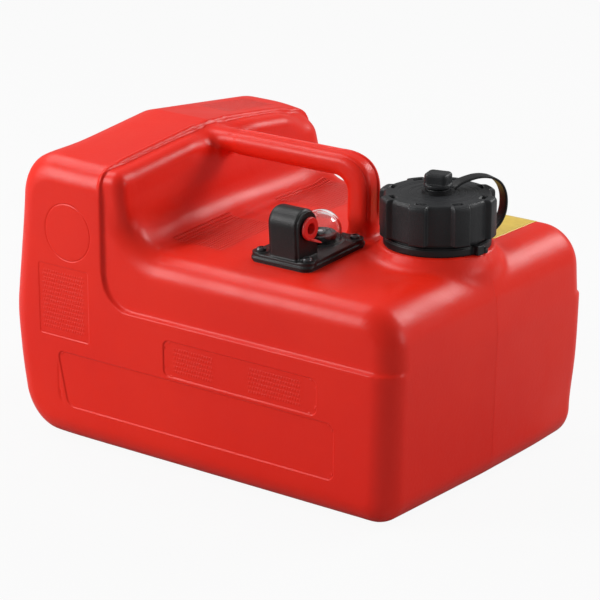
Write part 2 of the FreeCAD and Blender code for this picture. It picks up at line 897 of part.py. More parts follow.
def tail_of_clasp(doc, bottom):
    """Rounded loose end of the ring that passes through the clasp."""
    return cylinder(doc, "neck_ring_tail", size("tether_clasp_size") / 2,
                    bottom, bottom + size("tether_tail_thick"),
                    size("neck_ring_outside") + size("tether_tail_reach"), size("tether_tail_side"))


def tether_cap_ring(doc):
    """Ring of the tether in which the cap's boss turns."""
    bottom = cap_top() + size("seat_gap")
    top = bottom + size("cap_ring_thick")
    inside = size("vent_boss_radius") + size("running_gap")
    return on_cap_axis(turned(doc, "tether_cap_ring", [
        (inside, bottom, None),
        (size("cap_ring_outside"), bottom, None),
        (size("cap_ring_outside"), top, None),
        (inside, top, None),
    ]))


def tether_strap(doc):
    """Flat strap that arches over the cap from its ring down to the neck ring."""
    thick = size("strap_thick")
    bend = size("strap_bend")
    start_x = size("cap_ring_outside")
    start_z = cap_top() + size("seat_gap") + size("cap_ring_thick") / 2
    end_x = size("neck_ring_outside") + size("running_gap")
    end_z = size("platform_top") + size("neck_ring_thick") / 2
    wide = size("cap_radius") + size("strap_clear")
    body = new_body(doc, "tether_strap")
    spine = add_sketch(body, "strap_spine", "XZ_Plane")
    outline(spine, [
        (start_x, start_z, None),
        (start_x + thick * 4, start_z + thick / 2, bend),
        (size("strap_peak_place"), cap_top() + size("strap_arch"), bend),
        (wide, cap_top() - thick * 2, bend),
        (wide - thick, size("cap_bottom") + thick, bend / 2),
        (size("cap_radius"), end_z, bend / 3),
        (end_x, end_z, None),
    ], closed=False)
    section = add_sketch(body, "strap_section", "YZ_Plane", start_x)
    half = size("strap_width") / 2
    rectangle(section, -half, half, start_z - thick / 2, start_z + thick / 2)
    pipe = body.newObject("PartDesign::AdditivePipe", "strap_pipe")
    pipe.Profile = section
    pipe.Spine = (spine, [])
    pipe.Transition = "Right corner"
    place(body, size("cap_place"), 0.0, 0.0, turn=size("strap_angle"), axis="z")
    return body


# ---------------------------------------------------------------- fuel fitting, built flat, then seated


def plate_bottom():
    """Underside of the fitting's plate above the deck."""
    return size("fitting_seal_thick")


def plate_top():
    """Upper face of the fitting's plate above the deck."""
    return size("fitting_seal_thick") + size("plate_thick")


def hood(doc, name, start, length, shrink):
    """Arched prism along X, smaller all round by a step."""
    body = new_body(doc, name)
    sketch = add_sketch(body, name + "_arch", "YZ_Plane", start)
    half = size("hood_width") / 2 - shrink
    middle = -size("hood_side")
    top = plate_top() + size("hood_rise") - shrink
    bottom = plate_bottom() + size("lip_thick")
    arch = size("hood_round") - shrink
    outline(sketch, [
        (middle - half, bottom, None),
        (middle + half, bottom, None),
        (middle + half, top, arch),
        (middle - half, top, arch),
    ])
    prism = pad(body, sketch, length)
    if shrink.value == 0:
        def is_back_edge(edge):
            bounds = edge.BoundBox
            return bounds.XMax < start.value + TOUCH and bounds.ZMin > bottom.value + TOUCH

        round_edges(doc, body, prism, is_back_edge, size("hood_back_round"))
    return body


def gauge_housing(doc):
    """Plate with the arched hose port, screw bosses and the seat of the dome."""
    length = size("plate_length")
    width = size("plate_width")
    lip = plate(doc, "housing_lip", length, width, size("plate_round"),
                plate_bottom(), size("lip_thick"))
    deck = plate(doc, "housing_deck", length - 2 * size("plate_lip"), width - 2 * size("plate_lip"),
                 size("plate_round") - size("plate_lip"), plate_bottom(), size("plate_thick"))
    front_x = size("hood_length") - size("hood_back")
    main_hood = hood(doc, "housing_hood", -size("hood_back"), size("hood_length"), as_size(0))
    collar = hood(doc, "housing_collar", front_x - size("collar_length"),
                  size("collar_length") * 2, size("collar_step"))
    rim = cylinder(doc, "housing_rim", size("lens_radius") + size("running_gap") + size("lens_rim_thick"),
                   plate_bottom(), plate_top() + size("lens_rim_rise"), 0.0, size("gauge_side"))
    bosses = []
    holes = []
    for k, (x, y) in enumerate(screw_spots()):
        bosses.append(cylinder(doc, f"housing_boss_{k}", size("screw_boss_radius"), plate_bottom(),
                               plate_top() + size("screw_boss_rise"), x, y))
        holes.append(cylinder(doc, f"housing_screw_hole_{k}", size("screw_radius") + size("running_gap"),
                              as_size(0), plate_top() + size("lip_thick"), x, y))
        holes.append(cylinder(doc, f"housing_head_room_{k}",
                              size("screw_head_radius") + size("running_gap"),
                              plate_top() + size("screw_boss_rise"),
                              plate_top() + size("screw_boss_rise") + 2 * size("screw_head_rise"), x, y))
    solid = fuse(doc, "housing_solid", [lip, deck, main_hood, collar, rim] + bosses)
    port_z = plate_top() + size("port_rise")
    face_x = front_x + size("collar_length")
    port = cylinder_along_x(doc, "housing_port", size("port_radius"), face_x - size("port_depth"),
                            face_x + size("collar_length"), -size("hood_side"), port_z)
    passage = cylinder(doc, "housing_passage", size("passage_radius"), as_size(0), port_z,
                       passage_x(), -size("hood_side"))
    socket = cylinder(doc, "housing_socket", size("tube_radius") + size("seat_gap"), as_size(0),
                      plate_bottom() + size("tube_socket"), passage_x(), -size("hood_side"))
    bush = cylinder(doc, "housing_bush_bore", size("bush_radius") + size("seat_gap"), as_size(0),
                    plate_top() + size("lens_rim_rise") * 2, 0.0, size("gauge_side"))
    well = cylinder(doc, "housing_lens_well", size("lens_radius") + size("running_gap"), plate_top(),
                    plate_top() + size("lens_rim_rise") * 2, 0.0, size("gauge_side"))
    groove = seal_groove(doc)
    return fitting_frame(cut(doc, "gauge_housing", solid,
                             [port, passage, socket, bush, well, groove] + holes))


def seal_groove(doc):
    """Ring groove in the plate for the dome's seal."""
    middle = size("lens_radius") - size("lens_wall") / 2
    half = size("lens_seal_size") + size("seat_gap")
    bottom = plate_top() - 2 * size("lens_seal_size")
    ring = turned(doc, "housing_groove", [
        (middle - half, bottom, None),
        (middle + half, bottom, None),
        (middle + half, plate_top() + half, None),
        (middle - half, plate_top() + half, None),
    ])
    place(ring, 0.0, size("gauge_side"))
    return ring


def passage_x():
    """Where the upright fuel passage meets the port's inner end."""
    face_x = size("hood_length") - size("hood_back") + size("collar_length")
    return face_x - size("port_depth") + size("passage_radius")


def housing_gasket(doc):
    """Flat gasket between the fitting's plate and the deck."""
    sheet = plate(doc, "gasket_sheet", size("plate_length") - size("plate_lip"),
                  size("plate_width") - size("plate_lip"),
                  size("plate_round"), as_size(0), size("fitting_seal_thick"))
    holes = [
        cylinder(doc, f"gasket_screw_hole_{k}", size("screw_radius") + size("running_gap"),
                 -size("lip_thick"), size("lip_thick"), x, y)
        for k, (x, y) in enumerate(screw_spots())
    ]
    openings = fitting_holes(doc, "gasket_openings", size("running_gap") * 2)
    return fitting_frame(cut(doc, "housing_gasket", sheet, [openings] + holes))


def housing_screw(doc, index, x, y):
    """Pan-head screw with a cross recess."""
    seat = plate_top() + size("screw_boss_rise")
    head = seat + size("screw_head_rise")
    radius = size("screw_radius")
    body = turned(doc, f"screw_{index}", [
        (as_size(0), seat - size("screw_length"), None),
        (radius / 2, seat - size("screw_length"), None),
        (radius, seat - size("screw_length") + radius * 2, None),
        (radius, seat, None),
        (size("screw_head_radius"), seat, None),
        (size("screw_head_radius"), head, size("screw_head_round")),
        (as_size(0), head, None),
    ])
    arm = size("cross_length") / 2
    slit = size("cross_width") / 2
    cross = add_sketch(body, f"screw_cross_{index}", "XY_Plane", head)
    outline(cross, [
        (slit, slit, None), (arm, slit, None), (arm, -slit, None), (slit, -slit, None),
        (slit, -arm, None), (-slit, -arm, None), (-slit, -slit, None), (-arm, -slit, None),
        (-arm, slit, None), (-slit, slit, None), (-slit, arm, None), (slit, arm, None),
    ])
    pocket(body, cross, size("cross_depth"))
    place(body, x, y)
    return body


def housing_screws(doc):
    """The four screws as one node."""
    group = doc.addObject("Part::Compound", "housing_screws")
    group.Links = [housing_screw(doc, k, x, y) for k, (x, y) in enumerate(screw_spots())]
    return fitting_frame(group)


def port_plug(doc):
    """Cup-shaped plug pushed into the hose port, with a pull tab."""
    face_x = size("hood_length") - size("hood_back") + size("collar_length")
    port_z = plate_top() + size("port_rise")
    side = -size("hood_side")
    flange_end = face_x + size("plug_flange_thick")
    flange = cylinder_along_x(doc, "plug_flange", size("plug_flange_radius"), face_x, flange_end,
                              side, port_z)
    barrel = cylinder_along_x(doc, "plug_barrel", size("port_radius") - size("seat_gap"),
                              face_x - size("plug_length"), flange_end, side, port_z)
    hollow = cylinder_along_x(doc, "plug_hollow", size("plug_hollow_radius"),
                              flange_end - size("plug_hollow_depth"), flange_end + size("lip_thick"),
                              side, port_z)
    tab_z = port_z - size("plug_flange_radius")
    half = size("plug_tab_width") / 2
    tab = box(doc, "plug_tab", (face_x + size("plug_flange_thick") / 2, side - half, tab_z),
              (flange_end + size("plug_tab_reach"), side + half, tab_z + size("plug_tab_thick")))
    solid = fuse(doc, "plug_solid", [flange, barrel, tab])
    return fitting_frame(cut(doc, "port_plug", solid, [hollow]))


def on_gauge_axis(doc, name, solid):
    """Seat a solid that was built about the origin on the gauge's axis in the fitting."""
    place(solid, 0.0, size("gauge_side"))
    holder = doc.addObject("Part::Compound", name)
    holder.Links = [solid]
    return fitting_frame(holder)


def gauge_lens(doc):
    """Clear dome over the indicator."""
    bottom = plate_top() + size("seat_gap")
    top = plate_top() + size("lens_rise")
    outside = size("lens_radius")
    inside = size("lens_radius") - size("lens_wall")
    shell = turned(doc, "lens_shell", [
        (as_size(0), top, None),
        (as_size(0), top - size("lens_wall"), None),
        (inside, top - size("lens_wall"), size("lens_crown_round") - size("lens_wall")),
        (inside, bottom, None),
        (outside, bottom, None),
        (outside, top, size("lens_crown_round")),
    ])
    return on_gauge_axis(doc, "gauge_lens", shell)


def lens_seal(doc):
    """Seal ring under the dome's edge."""
    ring = doc.addObject("Part::Torus", "seal_ring")
    ring.setExpression("Radius1", (size("lens_radius") - size("lens_wall") / 2).text)
    ring.setExpression("Radius2", size("lens_seal_size").text)
    place(ring, 0.0, size("gauge_side"), plate_top() - size("lens_seal_size"))
    holder = doc.addObject("Part::Compound", "lens_seal")
    holder.Links = [ring]
    return fitting_frame(holder)


def drum_bottom():
    """Underside of the indicator drum above the deck."""
    return plate_top() + size("bush_flange_thick") + size("running_gap")


def gauge_drum(doc):
    """Indicator drum pressed on the spindle, with a sight notch in its rim."""
    bottom = drum_bottom()
    top = bottom + size("drum_thick")
    bore = size("journal_radius") + size("seat_gap")
    drum = turned(doc, "drum_solid", [
        (as_size(0), bottom + size("drum_socket"), None),
        (bore, bottom + size("drum_socket"), None),
        (bore, bottom, None),
        (size("drum_radius"), bottom, None),
        (size("drum_radius"), top, size("drum_round")),
        (as_size(0), top, None),
    ])
    notch = add_sketch(drum, "drum_notch", "XY_Plane", top)
    half = size("notch_width") / 2
    rectangle(notch, size("drum_radius") - size("notch_reach"), size("drum_radius") + size("notch_reach"),
              -half, half)
    pocket(drum, notch, size("notch_depth"))
    return on_gauge_axis(doc, "gauge_drum", drum)


def spindle_bush(doc):
    """Flanged bearing bush of the gauge spindle."""
    inside = size("journal_radius") + size("seat_gap")
    bush = turned(doc, "bush_solid", [
        (inside, plate_bottom(), None),
        (size("bush_radius"), plate_bottom(), None),
        (size("bush_radius"), plate_top(), None),
        (size("bush_flange_radius"), plate_top(), None),
        (size("bush_flange_radius"), plate_top() + size("bush_flange_thick"), None),
        (inside, plate_top() + size("bush_flange_thick"), None),
    ])
    return on_gauge_axis(doc, "spindle_bush", bush)


def strip_bottom():
    """Lower end of the twisted strip."""
    return (size("foot_thick") + size("foot_boss_rise") + size("running_gap")
            - size("guide_depth"))


def spindle_strip(doc):
    """Twisted strip whose flats meet the float's key when the tank is empty."""
    sheet = doc.getObject("Sizes")
    pitch = float(sheet.get("strip_pitch"))
    half_width = float(sheet.get("strip_width")) / 2
    half_thick = float(sheet.get("strip_thick")) / 2
    high = -float(sheet.get("strip_drop"))
    low = strip_bottom().value
    corners = [
        FreeCAD.Vector(half_width, half_thick, low),
        FreeCAD.Vector(-half_width, half_thick, low),
        FreeCAD.Vector(-half_width, -half_thick, low),
        FreeCAD.Vector(half_width, -half_thick, low),
    ]
    spine = Part.Wire(Part.makeLine(FreeCAD.Vector(0, 0, low), FreeCAD.Vector(0, 0, high)))
    guide = Part.makeHelix(pitch, high - low, half_width)
    guide.translate(FreeCAD.Vector(0, 0, low))
    sweep = Part.BRepOffsetAPI.MakePipeShell(spine)
    sweep.setAuxiliarySpine(Part.Wire(guide.Edges), True, 0)
    sweep.add(Part.makePolygon(corners + corners[:1]), False, False)
    sweep.build()
    sweep.makeSolid()
    strip = doc.addObject("Part::Feature", "spindle_strip")
    strip.Shape = sweep.shape()
    start = 360 * (low - key_height().value) / pitch
    strip.Placement = FreeCAD.Placement(FreeCAD.Vector(), FreeCAD.Rotation(AXIS_Z, start))
    return strip


def gauge_spindle(doc):
    """Twisted strip between an upper journal, which carries the drum, and a lower one."""
    upper = cylinder(doc, "spindle_upper", size("journal_radius"),
                     -(size("strip_drop") + size("journal_overlap")),
                     drum_bottom() + size("drum_socket") - size("running_gap"))
    lower = cylinder(doc, "spindle_lower", size("foot_journal_radius"),
                     strip_bottom() - size("foot_boss_rise") - size("foot_thick") / 2,
                     strip_bottom() + size("foot_journal_length"))
    whole = fuse(doc, "spindle_solid", [spindle_strip(doc), upper, lower])
    return on_gauge_axis(doc, "gauge_spindle", whole)


def float_guide(doc):
    """Flange under the plate with two rails down to the foot."""
    flange_bottom = plate_bottom() - size("guide_flange_thick")
    flange = turned(doc, "guide_flange", [
        (size("float_bore_radius"), flange_bottom, None),
        (size("guide_flange_radius"), flange_bottom, None),
        (size("guide_flange_radius"), plate_bottom(), None),
        (size("float_bore_radius"), plate_bottom(), None),
    ])
    half = size("rail_width") / 2
    rails = []
    for side, centre in (("near", size("rail_place")), ("far", -size("rail_place"))):
        rails.append(box(
            doc, f"guide_rail_{side}",
            (centre - size("rail_thick") / 2, -half, size("foot_thick") - size("guide_depth")),
            (centre + size("rail_thick") / 2, half, plate_bottom() - size("guide_flange_thick") / 2)))
    return on_gauge_axis(doc, "float_guide", fuse(doc, "guide_solid", [flange] + rails))


def guide_foot(doc):
    """Disc that joins the rails' ends and carries the spindle's lower journal."""
    bottom = -size("guide_depth")
    top = bottom + size("foot_thick")
    bore = size("foot_journal_radius") + size("seat_gap")
    foot = turned(doc, "foot_solid", [
        (as_size(0), bottom, None),
        (size("foot_radius"), bottom, None),
        (size("foot_radius"), top, None),
        (size("foot_boss_radius"), top, None),
        (size("foot_boss_radius"), top + size("foot_boss_rise"), None),
        (bore, top + size("foot_boss_rise"), None),
        (bore, bottom + size("foot_thick") / 3, None),
        (as_size(0), bottom + size("foot_thick") / 3, None),
    ])
    return on_gauge_axis(doc, "guide_foot", foot)


def float_bottom():
    """Underside of the float when the tank is empty."""
    return size("foot_thick") + size("running_gap") - size("guide_depth")


def key_height():
    """Middle of the float's slotted key when the tank is empty."""
    return float_bottom() + size("float_length") - size("float_key_thick") / 2


def gauge_float(doc):
    """Float with a slotted key on the strip and grooves that run on the rails."""
    bottom = float_bottom()
    top = bottom + size("float_length")
    key = top - size("float_key_thick")
    block = cylinder(doc, "float_block", size("float_radius"), bottom, top)
    bore = cylinder(doc, "float_bore", size("float_bore_radius"), bottom - size("lip_thick"), key)
    half_width = size("strip_width") / 2 + size("running_gap")
    half_thick = size("strip_thick") / 2 + size("running_gap")
    slot = box(doc, "float_slot", (-half_width, -half_thick, key - size("lip_thick")),
               (half_width, half_thick, top + size("lip_thick")))
    play = size("rail_play")
    half = size("rail_width") / 2 + play
    inner = size("rail_place") - size("rail_thick") / 2 - play
    outer = size("float_radius") + size("lip_thick")
    grooves = [
        box(doc, "float_groove_near", (inner, -half, bottom - size("lip_thick")),
            (outer, half, top + size("lip_thick"))),
        box(doc, "float_groove_far", (-outer, -half, bottom - size("lip_thick")),
            (-inner, half, top + size("lip_thick"))),
    ]
    return on_gauge_axis(doc, "gauge_float", cut(doc, "float_solid", block, [bore, slot] + grooves))


def on_pickup_axis(doc, name, solid):
    """Seat a solid that was built about the origin on the pickup tube's axis in the fitting."""
    place(solid, passage_x(), -size("hood_side"))
    holder = doc.addObject("Part::Compound", name)
    holder.Links = [solid]
    return fitting_frame(holder)


def pickup_tube(doc):
    """Tube from the fitting's socket down to the strainer."""
    top = plate_bottom() + size("tube_socket")
    inside = size("tube_radius") - size("tube_wall")
    tube = turned(doc, "tube_solid", [
        (inside, -size("tube_depth"), None),
        (size("tube_radius"), -size("tube_depth"), None),
        (size("tube_radius"), top, None),
        (inside, top, None),
    ])
    return on_pickup_axis(doc, "pickup_tube", tube)


def pickup_strainer(doc):
    """Slotted cup on the lower end of the pickup tube."""
    wall = size("strainer_wall")
    seat = -size("tube_depth")
    bottom = seat - size("strainer_length") / 4
    top = bottom + size("strainer_length")
    cup = turned(doc, "strainer_cup", [
        (as_size(0), bottom, None),
        (size("strainer_radius"), bottom, None),
        (size("strainer_radius"), top, wall),
        (size("tube_radius") + size("seat_gap"), top, None),
        (size("tube_radius") + size("seat_gap"), top - wall * 2, None),
        (size("strainer_radius") - wall, top - wall * 2, None),
        (size("strainer_radius") - wall, bottom + wall, None),
        (as_size(0), bottom + wall, None),
    ])
    slot = add_sketch(cup, "strainer_slot", "YZ_Plane", size("strainer_radius") + wall)
    half = size("strainer_slot_width") / 2
    slot_bottom = bottom + wall * 2
    rectangle(slot, -half, half, slot_bottom, slot_bottom + size("strainer_slot_length"))
    slot_cut = pocket(cup, slot, wall * 3)
    repeat_round(cup, slot_cut, size("strainer_slots"))
    return on_pickup_axis(doc, "pickup_strainer", cup)


def deck_label(doc):
    """Blank sticker on the sloping rear half of the deck."""
    half_width = size("tank_width") / 2
    body = new_body(doc, "deck_label")
    sketch = add_sketch(body, "label_plan", "XY_Plane")
    rectangle(sketch, as_size(0), size("label_length"), as_size(0), size("label_width"),
              size("label_round"))
    pad(body, sketch, size("label_thick"))
    height = size("deck_height") - size("rear_fall") * size("label_side") / half_width
    place(body, size("label_end") - size("label_length"), size("label_side"), height,
          turn=slope_angle(-size("rear_fall"), half_width), axis="x")
    return body


NODES = [
    tank_body, filler_cap, cap_gasket, vent_seal, vent_knob, tether_neck_ring, tether_cap_ring,
    tether_strap, gauge_housing, housing_gasket, housing_screws, port_plug, gauge_lens, lens_seal,
    gauge_drum, spindle_bush, gauge_spindle, float_guide, guide_foot, gauge_float, pickup_tube,
    pickup_strainer, deck_label,
]


def check(doc, nodes):
    """Stop if any object failed to recompute or any node lacks a valid solid."""
    for obj in doc.Objects:
        if "Invalid" in obj.State or "Error" in obj.State:
            raise RuntimeError(f"{obj.Label} did not recompute: {obj.State}")
    for node in nodes:
        if node.Shape.isNull() or not node.Shape.isValid() or not node.Shape.Solids:
            raise RuntimeError(f"{node.Label} has no valid solid")


def main():
    """Build every node and write one STEP file for each."""
    doc = FreeCAD.newDocument("fuel_tank")
    make_sheet(doc)
    nodes = [make(doc) for make in NODES]
    doc.recompute()
    check(doc, nodes)
    os.makedirs("parts", exist_ok=True)
    for node in nodes:
        node.Shape.exportStep(f"parts/{node.Label}.step")
        print(node.Label, len(node.Shape.Solids), round(node.Shape.Volume))


main()
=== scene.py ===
"""Looks of the portable outboard fuel tank: shell, cap, tether, fuel fitting, gauge and label."""

import math

import bmesh
import bpy
import numpy as np
from mathutils import Matrix, Vector
from mathutils.bvhtree import BVHTree

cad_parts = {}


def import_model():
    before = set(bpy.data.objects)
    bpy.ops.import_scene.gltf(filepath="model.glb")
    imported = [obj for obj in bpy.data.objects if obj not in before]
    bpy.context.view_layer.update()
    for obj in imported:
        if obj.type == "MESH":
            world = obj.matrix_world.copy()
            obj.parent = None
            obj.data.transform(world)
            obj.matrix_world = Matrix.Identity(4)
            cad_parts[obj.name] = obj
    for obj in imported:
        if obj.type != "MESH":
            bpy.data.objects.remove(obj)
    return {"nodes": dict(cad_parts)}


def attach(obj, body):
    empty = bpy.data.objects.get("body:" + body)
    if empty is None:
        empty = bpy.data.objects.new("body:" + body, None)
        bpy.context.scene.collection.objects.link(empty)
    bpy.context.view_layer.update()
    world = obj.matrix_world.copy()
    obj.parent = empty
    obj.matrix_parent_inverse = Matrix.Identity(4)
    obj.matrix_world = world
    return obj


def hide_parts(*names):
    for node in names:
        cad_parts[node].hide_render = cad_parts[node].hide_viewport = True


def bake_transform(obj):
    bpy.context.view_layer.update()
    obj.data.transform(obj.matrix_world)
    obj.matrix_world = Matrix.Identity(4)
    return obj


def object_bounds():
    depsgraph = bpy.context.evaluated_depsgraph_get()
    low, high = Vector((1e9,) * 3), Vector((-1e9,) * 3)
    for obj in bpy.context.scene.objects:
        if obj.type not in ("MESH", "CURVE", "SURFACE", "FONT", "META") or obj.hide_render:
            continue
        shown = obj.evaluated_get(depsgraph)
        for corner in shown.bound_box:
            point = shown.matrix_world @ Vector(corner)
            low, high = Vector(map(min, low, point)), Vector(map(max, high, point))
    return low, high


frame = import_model()
CAD_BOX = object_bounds()
NODES = frame["nodes"]

CAP_X = 0.125
CAP_TOP = 0.207
SIDE_Y = 0.125
DECK_SLOPE = math.atan2(7.0, 125.0)
FITTING = Matrix.Translation((0.049, -0.0505, 0.160172)) @ Matrix.Rotation(DECK_SLOPE, 4, "X")


# ---------------------------------------------------------------- node tools


class Shader:
    """Small builder for one material's node tree."""

    def __init__(self, name):
        self.material = bpy.data.materials.new(name)
        self.material.use_nodes = True
        self.tree = self.material.node_tree
        self.tree.nodes.clear()
        self.output = self.tree.nodes.new("ShaderNodeOutputMaterial")
        self.bsdf = self.tree.nodes.new("ShaderNodeBsdfPrincipled")
        self.tree.links.new(self.bsdf.outputs[0], self.output.inputs[0])
        self.coords = self.tree.nodes.new("ShaderNodeTexCoord").outputs["Object"]

    def link(self, source, target):
        """Link a socket, or set a plain value, on a target socket."""
        if isinstance(source, bpy.types.NodeSocket):
            self.tree.links.new(source, target)
        else:
            target.default_value = source

    def set(self, **values):
        """Set the shader's own sockets."""
        for key, value in values.items():
            self.link(value, self.bsdf.inputs[key.replace("_", " ")])

    def math(self, kind, first, second=0.0):
        """Math node."""
        node = self.tree.nodes.new("ShaderNodeMath")
        node.operation = kind
        for socket, value in zip(node.inputs, (first, second)):
            self.link(value, socket)
        return node.outputs[0]

    def noise(self, scale, detail=3.0, rough=0.5):
        """Noise texture in object space, scale in cells per metre."""
        node = self.tree.nodes.new("ShaderNodeTexNoise")
        self.link(self.coords, node.inputs["Vector"])
        node.inputs["Scale"].default_value = scale
        node.inputs["Detail"].default_value = detail
        node.inputs["Roughness"].default_value = rough
        return node.outputs["Fac"]

    def ramp(self, source, low, high, start=0.0, end=1.0):
        """Smooth map of a range to another."""
        node = self.tree.nodes.new("ShaderNodeMapRange")
        node.interpolation_type = "SMOOTHSTEP"
        self.link(source, node.inputs["Value"])
        limits = {"From Min": low, "From Max": high, "To Min": start, "To Max": end}
        for name, value in limits.items():
            node.inputs[name].default_value = value
        return node.outputs["Result"]

    def mix(self, factor, first, second):
        """Colour mix."""
        node = self.tree.nodes.new("ShaderNodeMix")
        node.data_type = "RGBA"
        self.link(factor, node.inputs["Factor"])
        self.link(first, node.inputs["A"])
        self.link(second, node.inputs["B"])
        return node.outputs["Result"]

    def bump(self, height, distance, strength=1.0, below=None):
        """Bump from a height map, distance in metres."""
        node = self.tree.nodes.new("ShaderNodeBump")
        node.inputs["Strength"].default_value = strength
        node.inputs["Distance"].default_value = distance
        self.link(height, node.inputs["Height"])
        if below is not None:
            self.link(below, node.inputs["Normal"])
        return node.outputs["Normal"]

    def axes(self):
        """X, Y and Z of the object coordinates."""
        node = self.tree.nodes.new("ShaderNodeSeparateXYZ")
        self.link(self.coords, node.inputs[0])
        return node.outputs[0], node.outputs[1], node.outputs[2]

    def dots(self, x, y, row, pitch):
        """Staggered rows of small pips."""
        across = self.math("DIVIDE", x, row)
        shift = self.math("MULTIPLY", self.math("FLOOR", across), 0.5)
        along = self.math("ADD", self.math("DIVIDE", y, pitch), shift)
        height = None
        for place in (across, along):
            away = self.math("ABSOLUTE", self.math("SUBTRACT", self.math("FRACT", place), 0.5))
            ridge = self.ramp(away, 0.12, 0.42, 1.0, 0.0)
            height = ridge if height is None else self.math("MULTIPLY", height, ridge)
        return height

    def near(self, value, place, width):
        """1 at a place, falling smoothly to 0 at a distance of width."""
        away = self.math("ABSOLUTE", self.math("SUBTRACT", value, place))
        return self.ramp(away, 0.0, width, 1.0, 0.0)

    def between(self, value, low, high, soft):
        """1 between two limits with soft edges."""
        rise = self.ramp(value, low - soft, low + soft)
        fall = self.ramp(value, high - soft, high + soft, 1.0, 0.0)
        return self.math("MULTIPLY", rise, fall)


def rgba(red, green, blue):
    """Opaque colour."""
    return (red, green, blue, 1.0)


def plastic(name, colour, dark, roughness, grain, depth, gloss=0.5):
    """Moulded plastic: faint mottling, moulded grain and uneven gloss."""
    s = Shader(name)
    mottle = s.noise(22.0, 4.0)
    s.set(Base_Color=s.mix(s.ramp(mottle, 0.3, 0.7), rgba(*colour), rgba(*dark)))
    s.set(Roughness=s.ramp(s.noise(60.0, 5.0), 0.25, 0.75, roughness - 0.05, roughness + 0.07))
    s.set(Normal=s.bump(s.noise(grain, 3.0), depth))
    s.set(Specular_IOR_Level=gloss)
    return s.material


# ---------------------------------------------------------------- materials


# Low and high corners, in metres, of the blocks of moulded pips on top and on the long front.
STIPPLE = [
    ((-0.053, -0.080, 0.150), (-0.006, -0.015, 0.172)),
    ((-0.050, 0.036, 0.155), (0.002, 0.100, 0.172)),
    ((-0.126, 0.040, 0.200), (-0.096, 0.096, 0.230)),
]
SIDE_STIPPLE = [
    ((-0.140, -0.130, 0.085), (-0.100, -0.120, 0.131)),
    ((-0.016, -0.130, 0.076), (0.020, -0.120, 0.096)),
    ((0.052, -0.130, 0.076), (0.098, -0.120, 0.096)),
]
PIP_ROW, PIP_PITCH = 0.0033, 0.0023
STIPPLE_EDGE = 0.0012
SEAM_WIDTH = 0.0008
SEAM_ENDS = (0.150, 0.165)


def stipple(s, blocks, first, second, axes):
    """Height of the pips inside the blocks."""
    pips = s.dots(first, second, PIP_ROW, PIP_PITCH)
    mask = None
    for low, high in blocks:
        inside = None
        for value, near_end, far_end in zip(axes, low, high):
            part = s.between(value, near_end, far_end, STIPPLE_EDGE)
            inside = part if inside is None else s.math("MULTIPLY", inside, part)
        mask = inside if mask is None else s.math("MAXIMUM", mask, inside)
    return s.math("MULTIPLY", pips, mask)


def shell_red():
    """Satin blow-moulded polyethylene with flow marks, orange peel, pips and the mould's seam."""
    s = Shader("shell_red")
    x, y, z = s.axes()
    mottle = s.noise(9.0, 5.0, 0.55)
    base = s.mix(s.ramp(mottle, 0.3, 0.72), rgba(0.86, 0.022, 0.008), rgba(0.82, 0.017, 0.007))
    scuffs = s.ramp(s.noise(240.0, 6.0, 0.65), 0.66, 0.78, 0.0, 0.06)
    s.set(Base_Color=s.mix(scuffs, base, rgba(0.80, 0.10, 0.07)))
    s.set(Roughness=s.ramp(s.noise(35.0, 5.0), 0.25, 0.75, 0.30, 0.40))
    s.set(Specular_IOR_Level=0.28)
    peel = s.bump(s.noise(420.0, 3.0), 0.00022, 0.5)
    flow = s.bump(s.noise(26.0, 2.0), 0.0012, 0.30, peel)
    seam = s.near(y, 0.0, SEAM_WIDTH)
    ends = s.ramp(s.math("ABSOLUTE", x), *SEAM_ENDS)
    seam_line = s.bump(s.math("MULTIPLY", seam, ends), 0.0004, 0.7, flow)
    flat = s.bump(stipple(s, STIPPLE, x, y, (x, y, z)), 0.0011, 1.0, seam_line)
    s.set(Normal=s.bump(stipple(s, SIDE_STIPPLE, z, x, (x, y, z)), 0.0004, 0.6, flat))
    s.set(Subsurface_Weight=0.06, Subsurface_Radius=(0.012, 0.002, 0.001), Subsurface_Scale=1.0)
    return s.material


def clear_plastic():
    """Clear moulded dome."""
    s = Shader("dome_clear")
    s.set(Base_Color=rgba(0.96, 0.97, 0.98), Transmission_Weight=1.0, IOR=1.45)
    s.set(Roughness=s.ramp(s.noise(90.0, 4.0), 0.3, 0.7, 0.02, 0.06))
    s.set(Normal=s.bump(s.noise(60.0, 2.0), 0.0002, 0.4))
    return s.material


def label_yellow():
    """Glossy film, slightly uneven."""
    s = Shader("film_yellow")
    fibre = s.noise(180.0, 5.0, 0.6)
    tint = s.ramp(fibre, 0.3, 0.7)
    s.set(Base_Color=s.mix(tint, rgba(0.84, 0.60, 0.10), rgba(0.78, 0.54, 0.08)))
    s.set(Roughness=s.ramp(s.noise(70.0, 3.0), 0.3, 0.7, 0.28, 0.40))
    s.set(Normal=s.bump(s.noise(120.0, 2.0), 0.0001, 0.5))
    return s.material


def coated_metal(name, colour, roughness):
    """Coated or bare metal with fine turning marks."""
    s = Shader(name)
    marks = s.noise(900.0, 4.0, 0.6)
    dark = (channel * 0.8 for channel in colour)
    s.set(Base_Color=s.mix(s.ramp(marks, 0.3, 0.7), rgba(*colour), rgba(*dark)))
    s.set(Metallic=0.85)
    s.set(Roughness=s.ramp(marks, 0.3, 0.7, roughness - 0.05, roughness + 0.1))
    s.set(Normal=s.bump(marks, 0.00005, 0.5))
    return s.material


